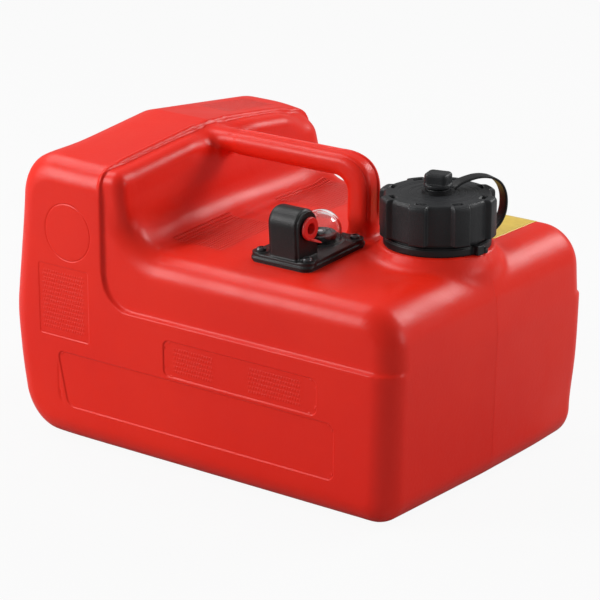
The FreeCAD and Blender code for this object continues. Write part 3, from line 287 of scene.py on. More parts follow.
SHELL = shell_red()
CAP_BLACK = plastic(
    "cap_black", (0.021, 0.022, 0.024), (0.011, 0.011, 0.012), 0.40, 900.0, 0.00025, 0.32)
FITTING_BLACK = plastic(
    "fitting_black", (0.010, 0.0095, 0.010), (0.006, 0.006, 0.0065), 0.36, 1100.0, 0.00022, 0.34)
SOFT_BLACK = plastic(
    "tether_black", (0.012, 0.012, 0.013), (0.008, 0.008, 0.009), 0.44, 900.0, 0.0001, 0.32)
RUBBER = plastic("seal_black", (0.02, 0.02, 0.02), (0.013, 0.013, 0.013), 0.6, 600.0, 0.0001)
PLUG_RED = plastic("plug_red", (0.72, 0.022, 0.018), (0.60, 0.015, 0.012), 0.36, 700.0, 0.0001)
NATURAL = plastic("natural_white", (0.72, 0.72, 0.69), (0.66, 0.66, 0.63), 0.42, 500.0, 0.0001)
FOAM = plastic("float_foam", (0.05, 0.05, 0.05), (0.03, 0.03, 0.03), 0.75, 1500.0, 0.0004)
DOME = clear_plastic()
YELLOW = label_yellow()
SCREW = coated_metal("screw_black", (0.10, 0.10, 0.105), 0.34)
STRIP = coated_metal("spindle_metal", (0.62, 0.62, 0.63), 0.32)

CAD_MATERIALS = {
    "tank_body": SHELL,
    "filler_cap": CAP_BLACK,
    "cap_gasket": RUBBER,
    "vent_seal": RUBBER,
    "vent_knob": CAP_BLACK,
    "tether_neck_ring": SOFT_BLACK,
    "tether_cap_ring": SOFT_BLACK,
    "tether_strap": SOFT_BLACK,
    "gauge_housing": FITTING_BLACK,
    "housing_gasket": RUBBER,
    "housing_screws": SCREW,
    "port_plug": PLUG_RED,
    "gauge_lens": DOME,
    "lens_seal": RUBBER,
    "gauge_drum": FITTING_BLACK,
    "spindle_bush": NATURAL,
    "gauge_spindle": STRIP,
    "float_guide": NATURAL,
    "guide_foot": NATURAL,
    "gauge_float": FOAM,
    "pickup_tube": NATURAL,
    "pickup_strainer": NATURAL,
    "deck_label": YELLOW,
}
for node_name, material in CAD_MATERIALS.items():
    mesh = NODES[node_name].data
    mesh.materials.clear()
    mesh.materials.append(material)


# ---------------------------------------------------------------- pieces


def mesh_object(name, mesh, material):
    """New object for a mesh."""
    piece = bpy.data.objects.new(name, mesh)
    bpy.context.scene.collection.objects.link(piece)
    mesh.materials.clear()
    mesh.materials.append(material)
    return piece


def finish_piece(piece, node, body):
    """Hide the CAD node that a piece stands in for, and attach the piece to the body it rides on.
    """
    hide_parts(node)
    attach(piece, body)


def apply_modifiers(piece):
    """Replace a piece's mesh by its evaluated one."""
    bpy.context.view_layer.update()
    graph = bpy.context.evaluated_depsgraph_get()
    final = bpy.data.meshes.new_from_object(piece.evaluated_get(graph))
    piece.modifiers.clear()
    piece.data = final


def shade_smooth(mesh):
    """Smooth shading on every face."""
    mesh.polygons.foreach_set("use_smooth", [True] * len(mesh.polygons))
    mesh.update()


def softened(source, name, voxel, rounds, material):
    """Copy of a CAD mesh, remeshed evenly and relaxed, as a mould leaves its edges."""
    piece = mesh_object(name, source.data.copy(), material)
    remesh = piece.modifiers.new("even", "REMESH")
    remesh.mode = "VOXEL"
    remesh.voxel_size = voxel
    relax = piece.modifiers.new("relax", "SMOOTH")
    relax.factor = 0.5
    relax.iterations = rounds
    apply_modifiers(piece)
    shade_smooth(piece.data)
    return piece


def points_of(mesh):
    """Vertex places as an array."""
    flat = np.empty(len(mesh.vertices) * 3, np.float32)
    mesh.vertices.foreach_get("co", flat)
    return flat.reshape(-1, 3).astype(float)


def normals_of(mesh):
    """Vertex normals as an array."""
    flat = np.empty(len(mesh.vertices) * 3, np.float32)
    mesh.vertex_normals.foreach_get("vector", flat)
    return flat.reshape(-1, 3).astype(float)


def move_points(mesh, points):
    """Write vertex places back."""
    mesh.vertices.foreach_set("co", points.astype(np.float32).ravel())
    mesh.update()


def relax_where(piece, chosen, rounds):
    """Extra smoothing of the chosen vertices only."""
    group = piece.vertex_groups.new(name="soft")
    group.add([int(k) for k in np.nonzero(chosen)[0]], 1.0, "REPLACE")
    relax = piece.modifiers.new("blend", "SMOOTH")
    relax.vertex_group = group.name
    relax.factor = 0.5
    relax.iterations = rounds
    apply_modifiers(piece)
    piece.vertex_groups.clear()


def step(value, low, high):
    """Smooth step from 0 to 1."""
    share = np.clip((value - low) / (high - low), 0.0, 1.0)
    return share * share * (3.0 - 2.0 * share)


def frame_distance(u, v, middle, half, radius):
    """Signed distance from a rounded rectangle's outline, negative inside."""
    du = np.abs(u - middle[0]) - (half[0] - radius)
    dv = np.abs(v - middle[1]) - (half[1] - radius)
    outside = np.hypot(np.maximum(du, 0.0), np.maximum(dv, 0.0))
    return outside + np.minimum(np.maximum(du, dv), 0.0) - radius


# Shallow relief on the long sides, in metres.
PANEL_MIDDLE, PANEL_HALF, PANEL_ROUND = (0.0, 0.049), (0.127, 0.021), 0.006
PANEL_SLANT = 0.009
NAME_MIDDLE, NAME_HALF, NAME_ROUND = (0.0435, 0.086), (0.0685, 0.0135), 0.005
BLOCK_MIDDLE, BLOCK_HALF, BLOCK_ROUND = (-0.1195, 0.10825), (0.024, 0.02725), 0.002
RING_MIDDLE, RING_RADIUS = (-0.114, 0.1626), 0.0215
PANEL_DEPTH = 0.0008
BLOCK_DEPTH = 0.0004
RING_DEPTH = 0.0004
RELIEF_REACH = 0.005
EDGE_SOFTNESS = 0.0004
FINE_BAND = 0.0013
SIDE_BAND = 0.002
FLAT_FACING, LINE_FACING = 0.9, 0.8


def side_relief(u, v, front):
    """Signed distances from the outlines on one side, and the depth they give."""
    rise = (PANEL_MIDDLE[1] + PANEL_HALF[1] - v) / (2 * PANEL_HALF[1])
    slant = np.where(u < 0.0, PANEL_SLANT * rise, 0.0)
    panel = frame_distance(u - slant, v, PANEL_MIDDLE, PANEL_HALF, PANEL_ROUND)
    name = frame_distance(u, v, NAME_MIDDLE, NAME_HALF, NAME_ROUND)
    sunk = [(panel, PANEL_DEPTH), (name, PANEL_DEPTH)]
    lines = [panel, name]
    if front:
        block = frame_distance(u, v, BLOCK_MIDDLE, BLOCK_HALF, BLOCK_ROUND)
        ring = np.hypot(u - RING_MIDDLE[0], v - RING_MIDDLE[1]) - RING_RADIUS
        sunk.append((block, BLOCK_DEPTH))
        lines += [block, ring]
    depth = np.zeros(len(u))
    for line, low in sunk:
        depth = np.maximum(depth, low * (1.0 - step(line, -EDGE_SOFTNESS, EDGE_SOFTNESS)))
    if front:
        depth = np.maximum(depth, RING_DEPTH * (1.0 - step(np.abs(ring), 0.0, 2 * EDGE_SOFTNESS)))
    return lines, depth


def on_side(points, normals, side):
    """Vertices on the flat of one long side."""
    return (points[:, 1] * side > SIDE_Y - SIDE_BAND) & (normals[:, 1] * side > FLAT_FACING)


def side_lines(points, normals):
    """Faces that the outlines on the long sides cross."""
    chosen = np.zeros(len(points), bool)
    for side in (-1, 1):
        lines, _ = side_relief(points[:, 0], points[:, 2], side < 0)
        close = np.min(np.abs(np.array(lines)), axis=0) < FINE_BAND
        close &= points[:, 1] * side > SIDE_Y - SIDE_BAND
        chosen |= close & (normals[:, 1] * side > LINE_FACING)
    return chosen


# Strip and grooves along the outside of the handle, in metres from its middle plane.
BEND_CENTRE = (0.0415, 0.194)
HANDLE_HALF, HANDLE_REACH = 0.0108, (0.022, 0.036)
HANDLE_ROOT_X, HANDLE_LOW_Z = -0.064, 0.174
OUTWARD_FACING = 0.25
STRIP_HALF = 0.0043
GROOVE_PLACE = 0.0076
STRIP_DEPTH, STRIP_EDGE = 0.0010, 0.0003
GROOVE_DEPTH, GROOVE_EDGES = 0.0009, (0.0001, 0.0009)
LINE_BAND = 0.0014
ROOT_FADE, FOOT_FADE = (-0.062, -0.052), (0.175, 0.183)


def inside(value, limits):
    """Whether values lie between two limits."""
    return (value > limits[0]) & (value < limits[1])


def handle_outside(points, normals):
    """Outward direction round the handle, and which vertices lie on its outer face."""
    over = points[:, 0] - BEND_CENTRE[0]
    above = points[:, 2] - BEND_CENTRE[1]
    across = np.where(over > 0.0, over, 0.0)
    up = np.where(above > 0.0, above, 0.0)
    reach = np.maximum(np.hypot(across, up), 1e-6)
    outward = np.stack([across / reach, np.zeros(len(points)), up / reach], axis=1)
    facing = np.sum(outward * normals, axis=1)
    within = (np.abs(points[:, 1]) < HANDLE_HALF) & inside(reach, HANDLE_REACH)
    within &= (points[:, 0] > HANDLE_ROOT_X) & (points[:, 2] > HANDLE_LOW_Z)
    return outward, within & (facing > OUTWARD_FACING)


def handle_lines(points, normals):
    """Faces that the edges of the handle's strip and grooves cross."""
    _, within = handle_outside(points, normals)
    side = np.abs(points[:, 1])
    near_strip = np.abs(side - STRIP_HALF) < LINE_BAND
    return within & (near_strip | (np.abs(side - GROOVE_PLACE) < LINE_BAND))


# Bead over the tower's top and the dip beside it, in metres.
BEAD_X, BEAD_WIDTH, BEAD_RISE = -0.0846, 0.00096, 0.0008
DIP_X, DIP_SHARE = BEAD_X + 0.0034, 0.6
BEAD_SPAN, BEAD_BAND, BEAD_LOW_Z = (0.010, 0.108), 0.0042, 0.196
BEAD_START, BEAD_END = (0.013, 0.019), (0.096, 0.106)
BEAD_FACING = 0.4

# The mould's parting line on the two ends, in metres.
SEAM_BAND, SEAM_FROM_X, SEAM_FACING = 0.0015, 0.150, 0.3
SEAM_DEPTH, SEAM_EDGES = 0.0002, (0.0001, 0.0006)


def bead_lines(points, normals):
    """Faces on the tower's top that the bead along its shoulder crosses."""
    along = inside(np.abs(points[:, 1]), BEAD_SPAN) & (points[:, 2] > BEAD_LOW_Z)
    return along & (np.abs(points[:, 0] - BEAD_X) < BEAD_BAND) & (normals[:, 2] > BEAD_FACING)


def bell(value, width):
    """Bell curve about 0, 1 at its top."""
    return np.exp(-0.5 * (value / width) ** 2)


def raise_bead(mesh):
    """Bead along the shoulder of the tower's top, on both sides of the handle's root."""
    points = points_of(mesh)
    normals = normals_of(mesh)
    side = np.abs(points[:, 1])
    chosen = bead_lines(points, normals)
    rise = BEAD_RISE * bell(points[:, 0] - BEAD_X, BEAD_WIDTH)
    rise -= DIP_SHARE * BEAD_RISE * bell(points[:, 0] - DIP_X, BEAD_WIDTH)
    rise *= step(side, *BEAD_START) * (1.0 - step(side, *BEAD_END))
    points[chosen] += (normals * rise[:, None])[chosen]
    move_points(mesh, points)


def seam_lines(points, normals):
    """Faces that the mould's parting line crosses on the two ends."""
    ends = (np.abs(points[:, 0]) > SEAM_FROM_X) & (np.abs(normals[:, 0]) > SEAM_FACING)
    return ends & (np.abs(points[:, 1]) < SEAM_BAND)


def refine(mesh, chooser, cuts):
    """Split the faces that a chooser picks."""
    form = bmesh.new()
    form.from_mesh(mesh)
    centres = np.array([face.calc_center_median() for face in form.faces])
    facing = np.array([face.normal for face in form.faces])
    chosen = np.nonzero(chooser(centres, facing))[0]
    form.faces.ensure_lookup_table()
    edges = list({edge: True for k in chosen for edge in form.faces[int(k)].edges})
    bmesh.ops.subdivide_edges(form, edges=edges, cuts=cuts, use_grid_fill=True)
    form.to_mesh(mesh)
    form.free()
    mesh.update()


def carve_sides(mesh):
    """Set the flat sides to the depth of their panels and rings."""
    points = points_of(mesh)
    normals = normals_of(mesh)
    for side in (-1, 1):
        chosen = on_side(points, normals, side)
        lines, depth = side_relief(points[:, 0], points[:, 2], side < 0)
        chosen &= np.min(np.array(lines), axis=0) < RELIEF_REACH
        points[chosen, 1] = side * (SIDE_Y - depth[chosen])
    move_points(mesh, points)


def carve_handle(mesh):
    """Sink the strip and the two grooves along the handle's outside."""
    points = points_of(mesh)
    outward, within = handle_outside(points, normals_of(mesh))
    side = np.abs(points[:, 1])
    depth = STRIP_DEPTH * (1.0 - step(side, STRIP_HALF - STRIP_EDGE, STRIP_HALF + STRIP_EDGE))
    depth += GROOVE_DEPTH * (1.0 - step(np.abs(side - GROOVE_PLACE), *GROOVE_EDGES))
    depth *= step(points[:, 0], *ROOT_FADE) * step(points[:, 2], *FOOT_FADE)
    points[within] -= (outward * depth[:, None])[within]
    move_points(mesh, points)


def sink_seam(mesh):
    """Fine groove of the mould's parting line on the ends."""
    points = points_of(mesh)
    normals = normals_of(mesh)
    chosen = seam_lines(points, normals)
    dip = SEAM_DEPTH * (1.0 - step(np.abs(points[:, 1]), *SEAM_EDGES))
    points[chosen] -= (normals * dip[:, None])[chosen]
    move_points(mesh, points)


# The upper tower's planes and rounds, in metres.
DECK_Z, TOWER_Z, HALF_WIDTH = 0.163, 0.2235, 0.125
FRONT_FALL, REAR_FALL, TOWER_FALL = 0.007, 0.0005, 0.013
WALL_FOOT_X, WALL_LEAN = -0.0585, 0.009
STEPPED_SIDE = 0.122
NO_STEP = 1.0
LIP_ROUND, LIP_TIGHT = 0.0195, 0.0085
FOOT_ROUND, FOOT_TIGHT = 0.030, 0.019

# Where the tightening fades in and out, in metres.
LIP_FADE_X, LIP_FADE_Z, LIP_FADE_WALL = (-0.0855, -0.0800), (0.166, 0.196), (-0.003, 0.0)
LIP_FADE_REAR, LIP_FADE_HANDLE = (0.072, 0.106), (0.010, 0.042)
FOOT_FADE_REACH, FOOT_FADE_FACE, FOOT_FADE_SIDE = (0.032, 0.044), (-0.009, -0.002), (0.080, 0.116)

# Search limits for a tightened corner, as shares of the wide radius.
NEAREST, FURTHEST, HALVINGS = 0.99, 1.8, 24


def tightened(offsets, wide, tight):
    """How far rounded corners reach out when their radius shrinks from wide to tight."""
    length = np.maximum(np.linalg.norm(offsets, axis=1), 1e-9)
    direction = offsets / length[:, None]
    low, high = np.full(len(offsets), wide * NEAREST), np.full(len(offsets), wide * FURTHEST)
    for _ in range(HALVINGS):
        middle = (low + high) / 2
        past = np.maximum(middle[:, None] * direction - (wide - tight), 0.0)
        outside = np.linalg.norm(past, axis=1) > tight
        high = np.where(outside, middle, high)
        low = np.where(outside, low, middle)
    return offsets * ((low + high) / 2 / wide - 1.0)[:, None]


def tighten_tower(points):
    """Give the tower's wall its crisp lip and front edge, and a smaller fillet at its foot."""
    x, y, z = points.T
    side = np.abs(y)
    deck = DECK_Z - np.where(y < 0.0, FRONT_FALL, REAR_FALL) * side / HALF_WIDTH
    top = TOWER_Z - TOWER_FALL * side / HALF_WIDTH
    wall = WALL_FOOT_X - WALL_LEAN * (z - deck) / (top - deck)
    behind = wall - x
    from_side = np.where(y < 0.0, STEPPED_SIDE - side, NO_STEP)

    offsets = np.maximum(LIP_ROUND - np.stack([behind, from_side, top - z], axis=1), 0.0)
    shift = tightened(offsets, LIP_ROUND, LIP_TIGHT)
    weight = step(x, *LIP_FADE_X) * step(z, *LIP_FADE_Z) * step(behind, *LIP_FADE_WALL)
    weight *= np.where(y < 0.0, 1.0, 1.0 - step(y, *LIP_FADE_REAR)) * step(side, *LIP_FADE_HANDLE)
    outward = np.stack([np.ones(len(x)), np.sign(y), np.ones(len(x))], axis=1)
    moved = points + shift * weight[:, None] * outward

    foot = np.maximum(FOOT_ROUND - np.stack([x - wall, z - deck], axis=1), 0.0)
    shift = tightened(foot, FOOT_ROUND, FOOT_TIGHT)
    weight = 1.0 - step(np.linalg.norm(foot, axis=1), *FOOT_FADE_REACH)
    weight *= step(x - wall, *FOOT_FADE_FACE) * step(z - deck, *FOOT_FADE_FACE)
    weight *= 1.0 - step(side, *FOOT_FADE_SIDE)
    moved[:, 0] -= shift[:, 0] * weight
    moved[:, 2] -= shift[:, 1] * weight
    return moved


# Corners that the mould rounds off or fills out: place, reach and shift in metres.
NUDGES = [
    ((-0.166, -0.114, 0.018), 0.020, (0.0013, 0.0014, 0.0014)),
    ((0.170, 0.114, 0.022), 0.022, (-0.0020, -0.0023, 0.0004)),
    ((-0.156, -0.110, 0.211), 0.018, (-0.0012, -0.0006, 0.0026)),
    ((-0.076, 0.106, 0.213), 0.013, (-0.0014, -0.0020, -0.0026)),
    ((0.063, 0.0, 0.213), 0.011, (0.0024, 0.0, 0.0022)),
]


def nudge(points):
    """Shift corners smoothly by their own amounts."""
    for place, reach, shift in NUDGES:
        away = np.linalg.norm(points - np.array(place), axis=1)
        points = points + bell(away, reach)[:, None] * np.array(shift)
    return points


# Zones that flow smoothly, in metres: X, distance from the middle plane, and Z.
NECK_ZONE = (0.0415, 0.066), (0.140, 0.1694)
ROOT_ZONE = (-0.080, -0.050), 0.024, (0.185, 0.230)
POST_ZONE = (0.040, 0.086), 0.022, (0.158, 0.176)


def blend_zones(points):
    """Vertices round the neck, at the handle's root and at the foot of its post."""
    x, y, z = points.T
    chosen = inside(np.hypot(x - CAP_X, y), NECK_ZONE[0]) & inside(z, NECK_ZONE[1])
    for along, half, upright in (ROOT_ZONE, POST_ZONE):
        chosen |= inside(x, along) & (np.abs(y) < half) & inside(z, upright)
    return chosen


SHELL_VOXEL = 0.0013
SHELL_ROUNDS, BLEND_ROUNDS, STRIP_ROUNDS = 3, 90, 6
HANDLE_CUTS, SIDE_CUTS, SEAM_CUTS, BEAD_CUTS = 3, 3, 2, 2


def make_shell():
    """The moulded tank with its soft edges, grooves, panels and seam."""
    piece = softened(NODES["tank_body"], "shell", SHELL_VOXEL, SHELL_ROUNDS, SHELL)
    move_points(piece.data, tighten_tower(points_of(piece.data)))
    relax_where(piece, blend_zones(points_of(piece.data)), BLEND_ROUNDS)
    refine(piece.data, handle_lines, HANDLE_CUTS)
    points = points_of(piece.data)
    relax_where(piece, handle_lines(points, normals_of(piece.data)), STRIP_ROUNDS)
    refine(piece.data, side_lines, SIDE_CUTS)
    refine(piece.data, seam_lines, SEAM_CUTS)
    refine(piece.data, bead_lines, BEAD_CUTS)
    for carve in (carve_sides, carve_handle, sink_seam, raise_bead):
        carve(piece.data)
    low, high = CAD_BOX
    move_points(piece.data, np.clip(nudge(points_of(piece.data)), list(low), list(high)))
    shade_smooth(piece.data)
    finish_piece(piece, "tank_body", "tank")
    return piece


shell = make_shell()


# ---------------------------------------------------------------- cap, tether, fitting and label


# How much coarser the small pieces are while trying.
FINE = 1.0


def moulded_piece(node, name, voxel, rounds, material, body):
    """Softened stand-in for a moulded CAD node."""
    finish_piece(softened(NODES[node], name, voxel * FINE, rounds, material), node, body)


def mend_faces(mesh, merge=0.0, fill=False):
    """Turn every face outward, after merging doubled points or filling open ends."""
    form = bmesh.new()
    form.from_mesh(mesh)
    if merge:
        bmesh.ops.remove_doubles(form, verts=form.verts, dist=merge)
    if fill:
        bmesh.ops.holes_fill(form, edges=form.edges)
    bmesh.ops.recalc_face_normals(form, faces=form.faces)
    form.to_mesh(mesh)
    form.free()


def grid_mesh(name, rings, around_closed, along_closed):
    """Mesh from rings of points; the rings and the row of rings may close on themselves."""
    rows, columns = rings.shape[:2]
    mesh = bpy.data.meshes.new(name)
    faces = []
    for i in range(rows if along_closed else rows - 1):
        for k in range(columns if around_closed else columns - 1):
            following, after = (i + 1) % rows, (k + 1) % columns
            faces.append((i * columns + k, following * columns + k,
                          following * columns + after, i * columns + after))
    mesh.from_pydata([tuple(p) for p in rings.reshape(-1, 3)], [], faces)
    mesh.update()
    mend_faces(mesh)
    shade_smooth(mesh)
    return mesh


def spaced(corners, pitch):
    """Closed path through corners, with points no further apart than the pitch."""
    path = []
    for first, second in zip(corners, corners[1:] + corners[:1]):
        count = max(1, math.ceil(math.dist(first, second) / pitch))
        for k in range(count):
            share = k / count
            path.append((first[0] + (second[0] - first[0]) * share,
                         first[1] + (second[1] - first[1]) * share))
    return np.array(path)


def rounded(corners, radii, turns=5):
    """Corners of a closed path, with chosen ones rounded off."""
    path = []
    count = len(corners)
    for k, (corner, radius) in enumerate(zip(corners, radii)):
        if not radius:
            path.append(tuple(corner))
            continue
        here = np.array(corner, float)
        before = np.array(corners[k - 1], float) - here
        after = np.array(corners[(k + 1) % count], float) - here
        before /= np.linalg.norm(before)
        after /= np.linalg.norm(after)
        start, end = here + before * radius, here + after * radius
        for t in np.linspace(0.0, 1.0, turns + 1):
            path.append(tuple((1 - t) ** 2 * start + 2 * t * (1 - t) * here + t ** 2 * end))
    return path


# The cap, in metres.
CAP_RADIUS, CAP_INSIDE = 0.0425, 0.0362
CAP_BOTTOM, CAP_CEILING = 0.1785, 0.2038
BOSS_BORE, BOSS_RADIUS, BOSS_LOW, BOSS_HIGH = 0.00405, 0.0086, 0.1988, 0.2100
CAP_PROFILE = [(BOSS_BORE, BOSS_LOW), (BOSS_RADIUS, BOSS_LOW), (BOSS_RADIUS, CAP_CEILING),
               (CAP_INSIDE, CAP_CEILING), (CAP_INSIDE, CAP_BOTTOM), (CAP_RADIUS, CAP_BOTTOM),
               (CAP_RADIUS, CAP_TOP), (BOSS_RADIUS, CAP_TOP), (BOSS_RADIUS, BOSS_HIGH),
               (BOSS_BORE, BOSS_HIGH)]
CAP_ROUNDS = [0, 0, 0, 0, 0, 0.0008, 0.0038, 0.0006, 0.0006, 0]
CAP_PITCH, CAP_STEPS = 0.0004 * FINE, int(640 / FINE)
LOBES = 8
LOBE_PHASE = math.radians(14.0)
LOBE_HALF, LOBE_EDGE, LOBE_DEPTH = 0.0068, 0.0026, 0.0043
LOBE_BOWL = 0.18
OVER_RIM_FROM, RIM_LOW_Z = 0.030, 0.2045
SLOT_PLACE, SLOT_HALF, SLOT_REACH, SLOT_DEPTH = 0.0343, 0.0040, 0.0021, 0.0034
SLOT_EDGE = 0.0002
FACE_DEPTH, FACE_FROM = 0.0004, 0.0095
FACE_RINGS, RING_GROOVE, RING_WIDTH = (0.0148, 0.0190, 0.0205, 0.0262, 0.0285), 0.0003, 0.0006


def lobe_offset(angle):
    """Angle from the nearest lobe's middle."""
    period = 2 * math.pi / LOBES
    return (angle - LOBE_PHASE + period / 2) % period - period / 2


def below(value, limit, soft):
    """1 under a limit and 0 over it, with a soft edge."""
    return 1.0 - step(value, limit - soft, limit + soft)


def cap_mesh():
    """Lobed screw cap with slots over the lobes, fine rings and the vent boss."""
    path = spaced(rounded(CAP_PROFILE, CAP_ROUNDS), CAP_PITCH)
    angle = np.arange(CAP_STEPS) * 2 * math.pi / CAP_STEPS
    radius, height = path[:, :1], path[:, 1:]
    off = np.abs(lobe_offset(angle)[None, :])
    bowl = 1.0 - LOBE_BOWL * np.clip((np.pi / LOBES - off) * LOBES / np.pi, 0.0, 1.0)
    dip = LOBE_DEPTH * bowl * (1.0 - below(off * CAP_RADIUS, LOBE_HALF, LOBE_EDGE / 2))
    over_rim = np.clip((radius - OVER_RIM_FROM) / (CAP_RADIUS - OVER_RIM_FROM), 0.0, 1.0)
    under_rim = np.clip((radius - CAP_INSIDE) / (CAP_RADIUS - CAP_INSIDE), 0.0, 1.0)
    spread = radius - dip * np.where(height > RIM_LOW_Z, over_rim, under_rim)
    pit = below(off * spread, SLOT_HALF, SLOT_EDGE)
    pit = pit * below(np.abs(spread - SLOT_PLACE), SLOT_REACH, SLOT_EDGE)
    flat = (height > CAP_TOP - FACE_DEPTH) & (radius > FACE_FROM)
    level = height - SLOT_DEPTH * pit * flat
    for ring in FACE_RINGS:
        groove = 1.0 - step(np.abs(radius - ring), 0.0, RING_WIDTH)
        level = level - RING_GROOVE * groove * flat
    rings = np.stack([CAP_X + spread * np.cos(angle), spread * np.sin(angle),
                      np.broadcast_to(level, spread.shape)], axis=2)
    return grid_mesh("cap_shell", rings, True, True)


cap_shell = mesh_object("cap_shell", cap_mesh(), CAP_BLACK)
finish_piece(cap_shell, "filler_cap", "cap")
moulded_piece("gauge_housing", "fitting_shell", 0.0005, 3, FITTING_BLACK, "tank")
moulded_piece("vent_knob", "knob_shell", 0.0004, 2, CAP_BLACK, "vent_screw")

# The strap, in metres out from the cap's axis and up.
STRAP_ANGLE = math.radians(65.0)
STRAP_HALF, STRAP_THICK = 0.0048, 0.0018
STRAP_EDGE = 0.0007
STRAP_SPINE = [(0.0113, 0.2083), (0.0140, 0.2104), (0.0185, 0.2124), (0.0240, 0.2136),
               (0.0310, 0.2144), (0.0380, 0.2138), (0.0445, 0.2116), (0.0500, 0.2072),
               (0.0535, 0.2005), (0.0545, 0.1925), (0.0532, 0.1845), (0.0495, 0.1780),
               (0.0445, 0.1738), (0.0388, 0.1728)]
STRAP_STEPS = 8
MERGE = 0.00001


def smooth_path(corners, count):
    """Catmull-Rom curve through corners."""
    points = [corners[0]] + list(corners) + [corners[-1]]
    path = []
    for k in range(1, len(points) - 2):
        a, b, c, d = (np.array(points[k + j], float) for j in (-1, 0, 1, 2))
        for t in np.linspace(0.0, 1.0, count, endpoint=False):
            path.append(0.5 * (2 * b + (c - a) * t + (2 * a - 5 * b + 4 * c - d) * t ** 2
                               + (3 * b - a - 3 * c + d) * t ** 3))
    path.append(np.array(corners[-1], float))
    return np.array(path)


def bar_section(half, thick, edge):
    """Outline of a flat bar with rounded edges."""
    corners = [(-half, -thick), (half, -thick), (half, thick), (-half, thick)]
    return rounded(corners, [edge] * 4, 4)


def strap_mesh():
    """Flat ribbon with rounded edges along its spine."""
    spine = smooth_path(STRAP_SPINE, STRAP_STEPS)
    ahead = np.gradient(spine, axis=0)
    ahead /= np.linalg.norm(ahead, axis=1)[:, None]
    over = np.stack([-ahead[:, 1], ahead[:, 0]], axis=1)
    section = bar_section(STRAP_HALF, STRAP_THICK / 2, STRAP_EDGE)
    radial = np.array([math.cos(STRAP_ANGLE), math.sin(STRAP_ANGLE), 0.0])
    tangent = np.array([-math.sin(STRAP_ANGLE), math.cos(STRAP_ANGLE), 0.0])
    rings = []
    for (out, up), (side_out, side_up) in zip(spine, over):
        middle = np.array([CAP_X, 0.0, 0.0]) + radial * out + np.array([0.0, 0.0, up])
        lift = radial * side_out + np.array([0.0, 0.0, side_up])
        rings.append([middle + tangent * u + lift * v for u, v in section])
    start, end = ([np.mean(ring, axis=0)] * len(section) for ring in (rings[0], rings[-1]))
    mesh = grid_mesh("strap", np.array([start] + rings + [end]), True, False)
    mend_faces(mesh, merge=MERGE)
    return mesh


strap = mesh_object("strap", strap_mesh(), SOFT_BLACK)
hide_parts("tether_strap")
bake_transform(strap)


def lathe(name, corners, radii, pitch, steps, frame_matrix):
    """Turned piece about its own Z axis, placed by a matrix."""
    path = spaced(rounded(corners, radii), pitch)
    angle = np.arange(steps) * 2 * math.pi / steps
    radius, height = path[:, :1], path[:, 1:]
    rings = np.stack([radius * np.cos(angle), radius * np.sin(angle),
                      np.broadcast_to(height, (len(path), steps))], axis=2)
    mesh = grid_mesh(name, rings, True, True)
    mesh.transform(frame_matrix)
    mesh.update()
    return mesh


def joined(name, meshes, material):
    """One object from several meshes."""
    form = bmesh.new()
    for part in meshes:
        form.from_mesh(part)
    mesh = bpy.data.meshes.new(name)
    form.to_mesh(mesh)
    form.free()
    shade_smooth(mesh)
    return mesh_object(name, mesh, material)


# The collar, in metres out from the cap's axis and up.
COLLAR_PROFILE = [(0.0332, 0.1745), (0.0380, 0.1745), (0.0374, 0.1762), (0.0359, 0.1762),
                  (0.0359, 0.1782), (0.0332, 0.1782)]
COLLAR_ROUNDS = [0, 0.0004, 0.0004, 0.0002, 0.0004, 0]


def neck_ring():
    """The tether's ring with its clasp, and the black collar inside it under the cap."""
    piece = softened(NODES["tether_neck_ring"], "neck_ring", 0.0005 * FINE, 2, SOFT_BLACK)
    collar = lathe("collar", COLLAR_PROFILE, COLLAR_ROUNDS, 0.0008, 160,
                   Matrix.Translation((CAP_X, 0.0, 0.0)))
    ring = joined("tether_ring", [piece.data, collar], SOFT_BLACK)
    bpy.data.objects.remove(piece)
    finish_piece(ring, "tether_neck_ring", "tank")


# The plug, in metres out from its axis and along it, and its tab; both face +X in the fitting.
PLUG_SEAT = FITTING @ Matrix.Translation((0.0168, -0.0205, 0.0276))
PLUG_PROFILE = [(0.0042, 0.0024), (0.0046, -0.0064), (0.0006, -0.0064), (0.0006, -0.0088),
                (0.00655, -0.0088), (0.00655, 0.0), (0.0084, 0.0), (0.0084, 0.0024)]
PLUG_ROUNDS = [0.0004, 0, 0, 0, 0.0006, 0, 0.0008, 0.0008]
TAB_START, TAB_LENGTH, TAB_STEPS = 0.0010, 0.0102, 25
TAB_HALF, TAB_NARROWS = 0.0021, 0.62
TAB_THICK, TAB_THINS = 0.00055, 0.25
TAB_LOW, TAB_DROP = 0.0078, 0.0006


def plug_mesh():
    """Cup-shaped plug with a rounded flange, seen from its open end."""
    seat = PLUG_SEAT @ Matrix.Rotation(math.radians(90.0), 4, "Y")
    return lathe("plug", PLUG_PROFILE, PLUG_ROUNDS, 0.0005, 96, seat)


def tab_mesh():
    """Thin pull tab that narrows to its rounded tip."""
    rings = []
    for share in np.linspace(0.0, 1.0, TAB_STEPS):
        tip = math.sqrt(max(1.0 - share ** 8, 0.0004))
        half = TAB_HALF * (1.0 - TAB_NARROWS * share) * tip
        thick = TAB_THICK * (1.0 - TAB_THINS * share) * tip
        out, low = TAB_START + TAB_LENGTH * share, -TAB_LOW - TAB_DROP * share
        rings.append([(out, u, low + v) for u, v in bar_section(half, thick, thick * 0.8)])
    mesh = grid_mesh("tab", np.array(rings), True, False)
    mend_faces(mesh, fill=True)
    mesh.transform(PLUG_SEAT)
    mesh.update()
    shade_smooth(mesh)
    return mesh


neck_ring()
plug = joined("plug", [plug_mesh(), tab_mesh()], PLUG_RED)
finish_piece(plug, "port_plug", "plug")


